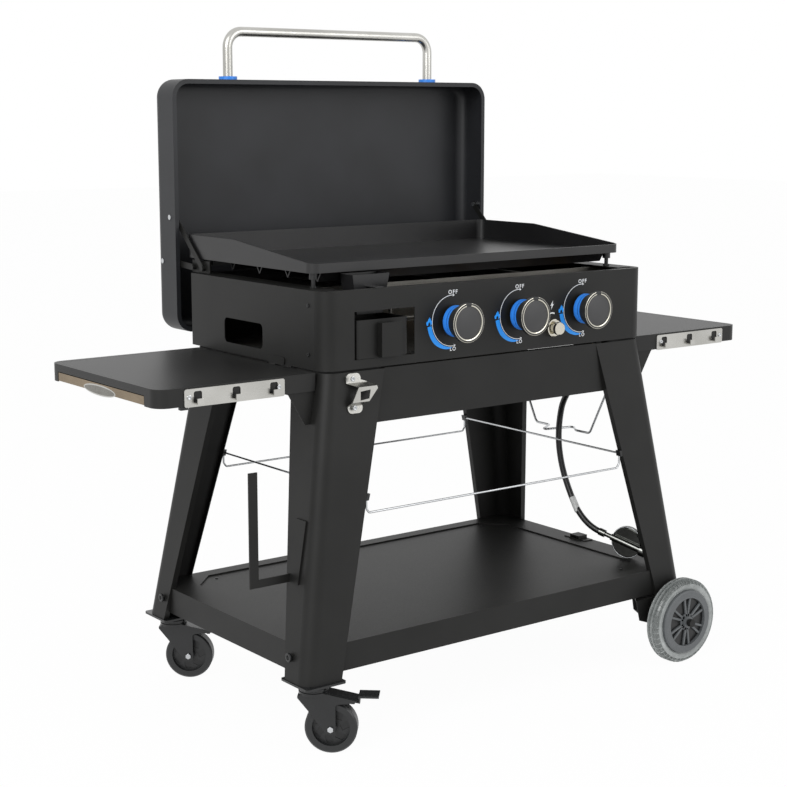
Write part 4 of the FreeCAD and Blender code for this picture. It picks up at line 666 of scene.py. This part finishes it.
def add_words(name: str, words: str, centre: Point, height: float) -> bpy.types.Object:
    """Add raised print that faces the front.

    Args:
        name: Name for the piece.
        words: What is printed.
        centre: Middle of the print.
        height: Height of its capitals.

    Returns:
        The piece.
    """
    deselect()
    bpy.ops.object.text_add(location=centre, rotation=TO_FRONT)
    text = bpy.context.object
    text.data.body = words
    # The font's size is 1.4 times the height of its capitals.
    text.data.size = height * 1.4
    text.data.align_x = "CENTER"
    text.data.align_y = "CENTER"
    # The strokes are thickened, and the letters set apart so that they stay clear.
    text.data.offset = 0.18 * MM
    text.data.space_character = 1.3
    text.data.extrude = INK_HALF
    bpy.ops.object.convert(target="MESH")
    return settle(name)


def add_screw(name: str, seat: Point, way: Point, radius: float) -> bpy.types.Object:
    """Add a pan head with a socket.

    Its height, the socket's border, the socket's depth and the rounding follow its radius.

    Args:
        name: Name for the piece.
        seat: Middle of the face that it sits on.
        way: Direction out of that face, of length 1.
        radius: Radius of the head.

    Returns:
        The piece.
    """
    outward = Vector(way)
    head = add_bar(name, seat, Vector(seat) + outward * radius * 0.55, radius)
    pick_faces(head, lambda _centre, normal: normal.dot(outward) > 0.9)
    bpy.ops.mesh.inset(thickness=radius * 0.55)
    inward = tuple(-outward * radius * 0.3)
    bpy.ops.mesh.extrude_region_move(TRANSFORM_OT_translate={"value": inward})
    bpy.ops.object.mode_set(mode="OBJECT")
    return bevel(head, radius * 0.16)


def join(name: str, pieces: Sequence[bpy.types.Object]) -> bpy.types.Object:
    """Join pieces into one.

    Args:
        name: Name for the piece.
        pieces: Meshes.

    Returns:
        The joined piece.
    """
    deselect()
    for piece in pieces:
        piece.select_set(True)
    bpy.context.view_layer.objects.active = pieces[0]
    bpy.ops.object.join()
    return settle(name)


# Sub-assemblies


@dataclass(frozen=True)
class Screws:
    """A row of equal pan heads: their seats, the way out of them and the heads' radius."""

    name: str
    seats: tuple[Point, ...]
    way: Point
    radius: float
    finish: Finish
    slot: str

    def mirrored(self, side: Side) -> Screws:
        """Give these screws for one half of the cart.

        Args:
            side: Which half.

        Returns:
            Screws named for that half, with X turned to its side.
        """
        return replace(
            self,
            name=f"{self.name}_{side.name.lower()}",
            seats=tuple((side.value * x, y, z) for x, y, z in self.seats),
            way=(side.value * self.way[0], *self.way[1:]),
        )


@dataclass
class Assembly:
    """Common ground of the sub-assemblies: the CAD nodes and the finishes."""

    nodes: dict[str, bpy.types.Object]
    palette: Palette

    def dress(self, finish: Finish, *names: str) -> None:
        """Give CAD nodes a finish.

        Args:
            finish: The finish.
            names: The nodes.
        """
        for name in names:
            self.palette.paint(self.nodes[name], finish)
            log.info("dressed %s in %s", name, finish.name)

    def fit(self, piece: bpy.types.Object, finish: Finish, body: str, slot: str) -> None:
        """Finish a new piece and let it ride on a body.

        Args:
            piece: The piece.
            finish: Its finish.
            body: CAD body that it rides on.
            slot: Name of a material slot, which is not used.
        """
        self.palette.paint(piece, finish)
        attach(piece, body)
        log.info("built %s", piece.name)

    def fit_screws(self, screws: Screws, body: str) -> None:
        """Put a row of screws in their seats.

        Args:
            screws: The row.
            body: CAD body that they ride on.
        """
        for index, seat in enumerate(screws.seats):
            head = add_screw(
                f"{screws.name}_{index}", at(*seat), screws.way, screws.radius * MM
            )
            self.fit(head, screws.finish, body, screws.slot)


@dataclass
class Cart(Assembly):
    """Splayed cart: legs, aprons, tray, shelves, wires and what is fixed to them."""

    shelf_ends: tuple[float, float] = (410.0, 700.7)
    shelf_top: float = 675.1
    line_reach: float = 189.5
    line_wide: float = 1.2
    line_deep: float = 0.15
    cup_centre: Point = (-712.2, 6.0, 648.0)
    stop_low: Point = (-667.0, -199.0, 636.0)
    stop_high: Point = (-652.0, -190.0, 643.0)
    strip_screws: Screws = Screws(
        "strip_screw",
        ((474.1, -203.3, 657.9), (653.0, -203.3, 657.9)),
        way=(0.0, -1.0, 0.0), radius=4.2, finish=ZINC, slot="zinc_plated_steel",
    )
    tray_screws: Screws = Screws(
        "tray_screw",
        ((351.8, -223.5, 193.9), (351.8, 223.5, 193.9)),
        way=(0.0, 0.0, 1.0), radius=3.2, finish=BLACKENED, slot="black_powder_coat",
    )
    opener_screws: Screws = Screws(
        "opener_screw",
        ((-343.8, -241.0, 664.2), (-339.4, -241.0, 611.5)),
        way=(0.0, -1.0, 0.0), radius=4.6, finish=ZINC, slot="zinc_plated_steel",
    )
    leg_bolts: Screws = Screws(
        "leg_bolt",
        ((474.6, -229.0, 175.2), (474.6, 229.0, 175.2)),
        way=(1.0, 0.0, 0.0), radius=8.4, finish=BLACKENED, slot="zinc_plated_steel",
    )

    def build(self) -> None:
        """Dress the cart's nodes and add its small pieces."""
        legs = [f"leg_{end}_{side}" for side in ("left", "right") for end in ("front", "rear")]
        self.dress(POWDER, *legs, "front_apron", "cart_rails", "bottom_tray", "tank_clip")
        self.dress(POWDER, "shelf_brackets", "towel_holder", "axle_brackets")
        self.dress(SHELF_COAT, "left_shelf", "right_shelf")
        self.dress(ENAMEL, "caster_plates", "wire_clips")
        self.dress(BRUSHED, "hook_strips", "bottle_opener")
        self.dress(BRUSHED_PAINTED_REFLECTION, "pull_out_tray")
        self.dress(ZINC, "brace_wires", "tank_hanger", "cart_bolts")
        for side in Side:
            self.build_shelf_line(side)
            self.fit_screws(self.strip_screws.mirrored(side), "cart")
            self.fit_screws(self.tray_screws.mirrored(side), "cart")
        self.fit_screws(self.opener_screws, "cart")
        for side in Side:
            self.fit_screws(self.leg_bolts.mirrored(side), "cart")
        stop = add_block("shelf_stop", at(*self.stop_low), at(*self.stop_high))
        self.fit(bevel(stop, 1 * MM), BLACKENED, "cart", "black_powder_coat")
        self.build_cup()

    def build_shelf_line(self, side: Side) -> None:
        """Draw the faint line that runs round a shelf's top inside its edge.

        Args:
            side: Which shelf.
        """
        ends = sorted(side.value * x for x in self.shelf_ends)
        top, half, reach = self.shelf_top, self.line_wide / 2, self.line_reach
        strips = []
        for index, y in enumerate((-reach, reach)):
            low = at(ends[0], y - half, top - self.line_deep)
            high = at(ends[1], y + half, top)
            strips.append(add_block(f"line_{index}", low, high))
        for index, x in enumerate(ends):
            low = at(x - half, -reach, top - self.line_deep)
            high = at(x + half, reach, top)
            strips.append(add_block(f"edge_{index}", low, high))
        line = join(f"shelf_line_{side.name.lower()}", strips)
        self.fit(line, BLACKENED, "cart", "black_powder_coat")

    def build_cup(self) -> None:
        """Lay a flat oval pull on the pull-out tray's face, with a painted highlight as its bright
        rim.
        """
        # The rim's brightness is a painted highlight, and the bowl's grey is painted shading of
        # the bulge.
        for part, finish, half_y, half_z, proud in (
            ("rim", BRUSHED, 60.0, 9.6, 0.36),
            ("bowl", MILL, 58.5, 8.4, 0.46),
        ):
            deselect()
            bpy.ops.mesh.primitive_uv_sphere_add(
                segments=64, ring_count=24, radius=1 * MM, location=at(*self.cup_centre)
            )
            bpy.context.object.scale = (proud, half_y, half_z)
            piece = settle(f"tray_cup_{part}")
            bpy.ops.object.shade_smooth_by_angle(angle=SMOOTH)
            self.fit(piece, finish, "pull_out_tray", "stainless_steel")


@dataclass
class Running(Assembly):
    """Casters on the left and large wheels on the right."""

    wheel_x: float = 447.0
    wheel_y: float = 306.0
    wheel_z: float = 88.0
    # One half of the tyre's section, as radius and place along Y from its middle.
    tyre_half: Outline = (
        *((66.6, 13.0), (71.0, 15.0), (79.0, 15.9)),
        *((85.0, 13.6), (87.9, 8.6), (87.9, 0.7)),
    )
    tyre_steps: int = 44
    # Cells lie outside this radius and beyond the seam in the middle.
    cells_from: float = 81.0
    seam_half: float = 1.0
    cell_wall: float = 0.8
    cell_deep: float = 2.6
    pocket_shade_y: float = 319.5
    pocket_shade_inner: float = 12.0
    pocket_shade_outer: float = 50.6
    spokes_y: float = 322.6
    spokes_inner: float = 11.0
    spokes_outer: float = 51.4
    spoke_pairs: int = 6
    spoke_lean: float = 9.5
    spoke_deep: float = 4.4
    spoke_wide: float = 4.6
    caster_x: float = -438.4
    caster_y: float = 250.0
    caster_z: float = 47.5
    # How far the casters' axles lie from their swivels, and the turn of their forks in degrees.
    caster_trail: float = 32.0
    front_turn: float = -41.0
    rear_turn: float = -40.0
    # From the wheel's middle along its axle: a nut's two ends, and the web's face.
    nut_ends: tuple[float, float] = (20.1, 25.0)
    nut_radius: float = 5.8
    web_half: float = 3.0
    web_radius: float = 35.0

    def build(self) -> None:
        """Dress the wheels, forks and pedals."""
        for end in End:
            place = end.name.lower()
            self.dress(ENAMEL, f"caster_fork_{place}", f"brake_pedal_{place}")
            self.dress(NYLON, f"caster_wheel_{place}")
            self.dress(HUB, f"wheel_hub_{place}")
        for end in End:
            self.build_tyre(end)
            self.build_pocket_shade(end)
            self.build_spokes(end)
            self.build_caster(end)

    def build_tyre(self, end: End) -> None:
        """Mould a clear tyre with two rows of cells round each shoulder.

        Args:
            end: Front or rear wheel.
        """
        place = end.name.lower()
        centre = at(self.wheel_x, end.value * self.wheel_y, self.wheel_z)
        other_half = [(radius, -along) for radius, along in reversed(self.tyre_half)]
        profile = [*self.tyre_half, *other_half]
        tyre = add_turned(f"tyre_ribbed_{place}", centre, profile, self.tyre_steps)
        hub = Vector(centre)

        def on_tread(face: Vector, _normal: Vector) -> bool:
            """Tell whether a face lies in one of the rows of cells.

            Args:
                face: The face's centre.
                _normal: Its normal, which doesn't matter here.

            Returns:
                True for a cell.
            """
            offset = face - hub
            radius = math.hypot(offset.x, offset.z)
            return radius > self.cells_from * MM and abs(offset.y) > self.seam_half * MM

        pick_faces(tyre, on_tread)
        bpy.ops.mesh.inset(
            thickness=self.cell_wall * MM, depth=-self.cell_deep * MM, use_individual=True
        )
        bpy.ops.object.mode_set(mode="OBJECT")
        cells = [face.select for face in tyre.data.polygons]
        bpy.ops.object.shade_smooth_by_angle(angle=math.radians(30))
        self.fit(tyre, VINYL, f"wheel_{place}", "clear_tyre")
        # The cells' floors take the darker vinyl, which is painted shade in these recesses.
        tyre.data.materials.append(self.palette.get(VINYL_CELL_PAINTED_SHADE))
        for face, is_cell in zip(tyre.data.polygons, cells):
            face.material_index = int(is_cell)
        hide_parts(f"wheel_tyre_{place}")

    def build_pocket_shade(self, end: End) -> None:
        """Lay a near-black disc between a hub's spokes, as painted shade in its deep pockets.

        Args:
            end: Front or rear wheel.
        """
        place = end.name.lower()
        floor = add_ring(
            f"hub_pockets_{place}",
            at(self.wheel_x, end.value * self.pocket_shade_y, self.wheel_z),
            self.pocket_shade_inner * MM,
            self.pocket_shade_outer * MM,
            1.6 * MM,
        )
        self.fit(floor, BLACKENED, f"wheel_{place}", "grey_hub_plastic")

    def build_spokes(self, end: End) -> None:
        """Mould pairs of spokes and a boss near a hub's outer face.

        Args:
            end: Front or rear wheel.
        """
        place = end.name.lower()
        level = end.value * self.spokes_y
        reach = self.spokes_outer - self.spokes_inner
        middle = (self.spokes_inner + self.spokes_outer) / 2
        spokes = []
        for pair in range(self.spoke_pairs):
            for lean in (-self.spoke_lean, self.spoke_lean):
                angle = math.radians(pair * FULL_TURN / self.spoke_pairs + 30 + lean)
                x = self.wheel_x + middle * math.cos(angle)
                z = self.wheel_z + middle * math.sin(angle)
                deselect()
                bpy.ops.mesh.primitive_cube_add(
                    size=1, location=at(x, level, z), rotation=(0.0, -angle, 0.0)
                )
                size = (reach * MM, self.spoke_deep * MM, self.spoke_wide * MM)
                bpy.context.object.scale = size
                spokes.append(bevel(settle(f"spoke_{pair}"), 0.7 * MM))
        centre = at(self.wheel_x, level, self.wheel_z)
        boss = add_ring("boss", centre, 9 * MM, 18 * MM, self.spoke_deep * MM)
        spokes.append(bevel(boss, 0.8 * MM))
        wheel = join(f"hub_spokes_{place}", spokes)
        self.fit(wheel, HUB, f"wheel_{place}", "grey_hub_plastic")

    def on_axle(self, end: End, reach: float) -> Point:
        """Give a point on a caster's axle.

        Args:
            end: Front or rear caster.
            reach: Place along the axle from the wheel's middle, in millimetres.

        Returns:
            The point, in the frame.
        """
        turn = math.radians(self.front_turn if end is End.FRONT else self.rear_turn)
        x = self.caster_x + self.caster_trail * math.cos(turn) - reach * math.sin(turn)
        y = self.caster_y * end.value + self.caster_trail * math.sin(turn)
        return at(x, y + reach * math.cos(turn), self.caster_z)

    def build_caster(self, end: End) -> None:
        """Put bright six-sided nuts on a caster's axle, and a web in its wheel.

        Args:
            end: Front or rear caster.
        """
        place = end.name.lower()
        for index, way in enumerate((-1, 1)):
            inside, outside = (self.on_axle(end, way * reach) for reach in self.nut_ends)
            name = f"caster_nut_{place}_{index}"
            nut = bevel(add_bar(name, inside, outside, self.nut_radius * MM, 6), 0.5 * MM)
            self.fit(nut, ZINC, f"caster_fork_{place}", "zinc_plated_steel")
        near, far = (self.on_axle(end, reach) for reach in (-self.web_half, self.web_half))
        web = add_bar(f"caster_web_{place}", near, far, self.web_radius * MM, 48)
        self.fit(web, BLACKENED, f"caster_wheel_{place}", "black_plastic")


@dataclass(frozen=True)
class Trim:
    """A ring round a knob.

    It stands so far proud of the panel, at its middle, and may cover only a part of the turn,
    in degrees.
    """

    name: str
    finish: Finish
    slot: str
    proud: float
    inner: float
    outer: float
    deep: float
    rounding: float
    start: float = 0.0
    sweep: float = FULL_TURN


# Printed shapes, with their corners in millimetres to the right and up of the dial's middle.
TOP_ARROW = ((0.0, 49.8), (5.2, 47.2), (0.6, 44.6), (1.8, 47.3))
LOW_ARROW = ((3.0, -49.8), (8.2, -46.4), (3.2, -44.4), (4.4, -47.0))
FLAME = (
    *((-60.5, -5.0), (-61.5, -0.5), (-59.5, 3.0), (-58.6, 1.0), (-56.6, 6.0), (-53.0, 10.2)),
    *((-53.4, 6.4), (-50.6, 8.0), (-51.2, 4.6), (-48.2, 2.4), (-47.6, -1.4), (-50.0, -5.0)),
    *((-52.6, -5.6), (-51.6, -2.6), (-54.4, 1.2), (-56.8, -2.0), (-57.0, -5.4)),
)
# The igniter's bolt, about its own middle.
BOLT = ((3.0, 9.0), (-4.4, -1.6), (-0.6, -0.8), (-2.6, -9.0), (4.6, 2.0), (0.8, 1.2))


@dataclass
class Head(Assembly):
    """Griddle head with its panels, burners, plate and controls."""

    dials: tuple[float, ...] = (-106.0, 58.0, 222.0)
    level: float = 748.7
    front: float = -227.5
    ink_proud: float = 0.1
    off_level: float = 801.5
    low_level: float = 695.5
    arc_inner: float = 46.9
    arc_outer: float = 48.1
    face_proud: float = 45.6
    face_radius: float = 30.0
    # The band starts at full width and narrows over the taper to nothing at its end, in degrees.
    band_inner: float = 49.5
    band_wide: float = 9.5
    band_start: int = 188
    band_end: int = 271
    band_step: int = 3
    band_taper: float = 50.0
    trims: tuple[Trim, ...] = (
        Trim("flange", AZURE, "blue_plastic", 13.0, 27.0, 29.4, 10.0, 0.5),
        # The groove's darker azure is painted shade.
        Trim("groove", AZURE_PAINTED_SHADE, "blue_plastic", 18.7, 27.0, 29.0, 1.6, 0.5),
        Trim("collar", AZURE, "blue_plastic", 21.9, 27.0, 29.3, 4.8, 0.5),
        Trim("rim", CHROME, "chrome_trim", 44.3, 30.2, 36.7, 9.2, 1.6, 99.0, 342.0),
    )
    wrap_screws: Screws = Screws(
        "wrap_screw",
        ((-394.2, -178.3, 792.1), (-394.2, -178.3, 704.4)),
        way=(-1.0, 0.0, 0.0), radius=3.6, finish=BLACKENED, slot="black_powder_coat",
    )

    def build(self) -> None:
        """Dress the head and build its controls."""
        self.dress(POWDER, "control_panel", "left_side_panel", "right_side_panel", "rear_panel")
        self.dress(POWDER, "latch_brackets", "link_brackets", "grease_box")
        self.dress(MILL, "heat_shield", "burner_tubes")
        self.dress(BRASS, "gas_manifold", "gas_valves")
        self.dress(CERAMIC, "igniter_electrodes")
        self.dress(CHROME, "igniter_base", "igniter_button")
        self.dress(PLATE, "griddle_plate", "plate_ribs", "grease_chute")
        self.dress(BLACKENED, "plate_feet")
        for name, x in zip(("left", "middle", "right"), self.dials):
            self.build_knob(name, x)
        self.build_spark()
        self.fit_screws(self.wrap_screws, "head")

    def on_ink(self, x: float, z: float) -> Point:
        """Give a point on the panel's print, in the frame."""
        return at(x, self.front - self.ink_proud, z)

    def build_knob(self, name: str, x: float) -> None:
        """Dress a knob, trim it and print its scale.

        Args:
            name: Which of the three knobs.
            x: Its place along X.
        """
        self.dress(NYLON, f"knob_{name}")
        self.build_scale(name, x)
        for trim in self.trims:
            ring = add_ring(
                f"knob_{name}_{trim.name}",
                at(x, self.front - trim.proud, self.level),
                trim.inner * MM,
                trim.outer * MM,
                trim.deep * MM,
                trim.start,
                trim.sweep,
            )
            self.fit(bevel(ring, trim.rounding * MM), trim.finish, f"knob_{name}", trim.slot)
        centre = at(x, self.front - self.face_proud, self.level)
        face = add_disc(f"knob_{name}_face", centre, self.face_radius * MM, 4 * MM)
        self.fit(bevel(face, 0.8 * MM), KNOB_FACE, f"knob_{name}", "black_plastic")

    def build_scale(self, name: str, x: float) -> None:
        """Print one dial's words, arc, band and flame on the panel.

        Args:
            name: Which of the three dials.
            x: Its place along X.
        """
        face = self.on_ink(x, self.level)
        inner, outer = self.arc_inner * MM, self.arc_outer * MM
        white = [
            add_words("off", "OFF", self.on_ink(x + 1.0, self.off_level), 7.6 * MM),
            add_words("low", "LO", self.on_ink(x + 1.5, self.low_level), 7.0 * MM),
            add_ring("arc", face, inner, outer, 0.1 * MM, start=88, sweep=186, steps=60),
            add_flat("top_arrow", face, TOP_ARROW),
            add_flat("low_arrow", face, LOW_ARROW),
        ]
        self.fit(join(f"dial_{name}_print", white), WHITE_INK, "head", "chrome_trim")
        azure = [add_flat("band", face, self.band()), add_flat("flame", face, FLAME)]
        self.fit(join(f"dial_{name}_flame", azure), AZURE_INK, "head", "blue_plastic")

    def band(self) -> Outline:
        """Work out the outline of the azure band round a dial.

        Returns:
            Corners in millimetres to the right and up of the dial's middle.
        """
        angles = range(self.band_start, self.band_end, self.band_step)
        edge = []
        for angle in angles:
            share = min(1.0, (self.band_end - angle) / self.band_taper) ** 0.6
            edge.append((self.band_inner + self.band_wide * share, angle))
        edge += [(self.band_inner, angle) for angle in reversed(angles)]
        return [
            (radius * math.cos(math.radians(angle)), radius * math.sin(math.radians(angle)))
            for radius, angle in edge
        ]

    def build_spark(self) -> None:
        """Print the igniter's bolt and dash."""
        bolt = add_flat("bolt", self.on_ink(143.1, 760.0), BOLT)
        centre = self.on_ink(143.4, 728.0)
        inner, outer = 15.2 * MM, 17.8 * MM
        dash = add_ring("dash", centre, inner, outer, 0.1 * MM, start=66, sweep=48, steps=8)
        self.fit(join("igniter_print", (bolt, dash)), WHITE_INK, "head", "chrome_trim")


@dataclass
class Lid(Assembly):
    """Open lid with its handle and linkage."""

    def build(self) -> None:
        """Dress the lid's nodes."""
        self.dress(LID_COAT_PAINTED_SHEEN, "lid_shell")
        self.dress(POWDER, "lid_stays", "lid_links")
        self.dress(BRUSHED, "lid_handle")
        self.dress(AZURE, "handle_collars")
        self.dress(ZINC, "lid_rivets")


@dataclass
class GasLine(Assembly):
    """Hose from the head to the regulator on the tray, with its radius and length in metres."""

    radius: float = 6.5 * MM
    length: float = 0.526
    route: tuple[Point, ...] = (
        (345.0, -140.0, 699.5),
        (345.0, -140.0, 656.0),
        (346.3, -107.9, 598.0),
        (346.2, -48.5, 533.0),
        (355.5, -26.1, 480.0),
        (358.9, -20.8, 428.0),
        (362.8, -30.1, 373.0),
        (365.9, -51.2, 325.0),
        (367.5, -76.0, 286.0),
        (374.0, -111.0, 257.0),
        (382.0, -128.2, 250.8),
    )
    tag_start: Point = (366.4, -58.5, 314.5)
    tag_end: Point = (367.8, -76.0, 286.5)
    rim_centre: Point = (413.9, -178.5, 231.65)
    rim_turn: float = 114.7

    def build(self) -> None:
        """Lay the hose and dress the regulator."""
        self.build_hose()
        self.dress(DARK_CHROME, "regulator")
        start, end = at(*self.tag_start), at(*self.tag_end)
        tag = add_bar("hose_tag", start, end, self.radius + 0.45 * MM, 32)
        self.fit(tag, SLEEVE, "gas_line", "black_rubber")
        deselect()
        bpy.ops.mesh.primitive_torus_add(
            location=at(*self.rim_centre),
            rotation=(math.pi / 2, 0.0, math.radians(self.rim_turn)),
            major_radius=33.1 * MM,
            minor_radius=1.3 * MM,
            major_segments=64,
        )
        self.fit(settle("regulator_rim"), ZINC, "gas_line", "regulator_casting")

    def build_hose(self) -> None:
        """Lay the hose along its route as one smooth curve."""
        curve = bpy.data.curves.new("gas_hose_line", "CURVE")
        curve.dimensions = "3D"
        curve.bevel_depth = self.radius
        curve.bevel_resolution = 6
        curve.resolution_u = 16
        spline = curve.splines.new("NURBS")
        spline.points.add(len(self.route) - 1)
        for point, place in zip(spline.points, self.route):
            point.co = (*at(*place), 1.0)
        spline.order_u = 3
        spline.use_endpoint_u = True
        hose = bpy.data.objects.new("gas_hose_soft", curve)
        bpy.context.scene.collection.objects.link(hose)
        self.fit(hose, RUBBER, "gas_line", "black_rubber")
        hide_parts("gas_hose")


@dataclass(frozen=True)
class Lamp:
    """A square soft box: its place and size in metres, and its power in watts."""

    name: str
    place: Point
    size: float
    power: float


@dataclass
class Studio:
    """Pale floor, soft lamps and the camera, in metres and degrees."""

    camera_place: Point = (-2.00485, -2.57075, 1.1269)
    camera_turn: Point = (80.29, 0.0, -37.15)
    lens: float = 74.97
    lamps_aim: Point = (0.0, 0.0, 0.7)
    lamps: tuple[Lamp, ...] = (
        Lamp("key_lamp", (-3.2, -1.6, 2.6), 2.2, 90.0),
        Lamp("fill_lamp", (1.8, -3.6, 2.2), 2.4, 40.0),
    )

    def build(self) -> None:
        """Set the stage."""
        self.build_floor()
        self.build_world()
        for lamp in self.lamps:
            self.hang(lamp)
        self.build_camera()

    def add_shown(self, tree: bpy.types.NodeTree) -> bpy.types.NodeSocket:
        """Add a value that is 1 on rays that show the background, and 0 on those that light.

        Args:
            tree: Node tree of the floor or the world.

        Returns:
            The socket with the value: 1 on camera, glossy and transmission rays.
        """
        path = add_node(tree, "ShaderNodeLightPath")
        shown = path.outputs["Is Camera Ray"]
        for ray in ("Is Glossy Ray", "Is Transmission Ray"):
            most = add_node(
                tree,
                "ShaderNodeMath",
                {"operation": "MAXIMUM"},
                {0: shown, 1: path.outputs[ray]},
            )
            shown = most.outputs["Value"]
        return shown

    def build_floor(self) -> None:
        """Add the floor: white to the eye, with a soft shadow."""
        deselect()
        bpy.ops.mesh.primitive_plane_add(size=40, location=(0.0, 0.0, 0.0))
        floor = settle("floor")
        material = bpy.data.materials.new("studio_floor")
        material.use_nodes = True
        tree = material.node_tree
        tree.nodes.clear()
        # The lit floor keeps a small share, which carries the shadow.
        part = add_node(
            tree,
            "ShaderNodeMath",
            {"operation": "MULTIPLY", 1: 0.97},
            {0: self.add_shown(tree)},
        )
        matt = add_node(
            tree, "ShaderNodeBsdfPrincipled", {"Base Color": srgb("#fafafa"), "Roughness": 0.9}
        )
        glow = add_node(tree, "ShaderNodeEmission", {"Color": WHITE, "Strength": 1.0})
        mix = add_node(
            tree,
            "ShaderNodeMixShader",
            {},
            {"Fac": part.outputs["Value"], 1: matt.outputs[0], 2: glow.outputs[0]},
        )
        add_node(tree, "ShaderNodeOutputMaterial", {}, {"Surface": mix.outputs[0]})
        floor.data.materials.append(material)

    def build_world(self) -> None:
        """Light the scene evenly, with white behind everything."""
        world = bpy.data.worlds.new("studio_air")
        bpy.context.scene.world = world
        world.use_nodes = True
        tree = world.node_tree
        tree.nodes.clear()
        level = add_node(
            tree,
            "ShaderNodeMapRange",
            {"To Min": 0.6, "To Max": 1.0},
            {"Value": self.add_shown(tree)},
        )
        air = add_node(
            tree, "ShaderNodeBackground", {"Color": WHITE}, {"Strength": level.outputs["Result"]}
        )
        add_node(tree, "ShaderNodeOutputWorld", {}, {"Surface": air.outputs[0]})

    def hang(self, lamp: Lamp) -> None:
        """Hang a soft box that faces the middle of the object.

        Args:
            lamp: The soft box.
        """
        light = bpy.data.lights.new(lamp.name, "AREA")
        light.size = lamp.size
        light.energy = lamp.power
        holder = bpy.data.objects.new(lamp.name, light)
        bpy.context.scene.collection.objects.link(holder)
        aim = Vector(self.lamps_aim) - Vector(lamp.place)
        turn = aim.to_track_quat("-Z", "Y").to_matrix().to_4x4()
        holder.matrix_world = Matrix.Translation(lamp.place) @ turn

    def build_camera(self) -> None:
        """Place the camera of the photograph's view."""
        eye = bpy.data.cameras.new("view_camera")
        eye.lens = self.lens
        eye.sensor_width = 36
        eye.clip_end = 100
        holder = bpy.data.objects.new("view_camera", eye)
        bpy.context.scene.collection.objects.link(holder)
        holder.location = self.camera_place
        holder.rotation_euler = [math.radians(turn) for turn in self.camera_turn]
        bpy.context.scene.camera = holder


def main() -> None:
    """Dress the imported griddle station, piece by piece."""
    logging.basicConfig(level=logging.INFO, format="%(message)s")
    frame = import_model()
    bpy.context.scene.view_settings.view_transform = "Standard"
    palette = Palette()
    Studio().build()
    for kind in (GasLine, Cart, Running, Head, Lid):
        kind(frame["nodes"], palette).build()
    deselect()


if __name__ == "__main__":
    main()
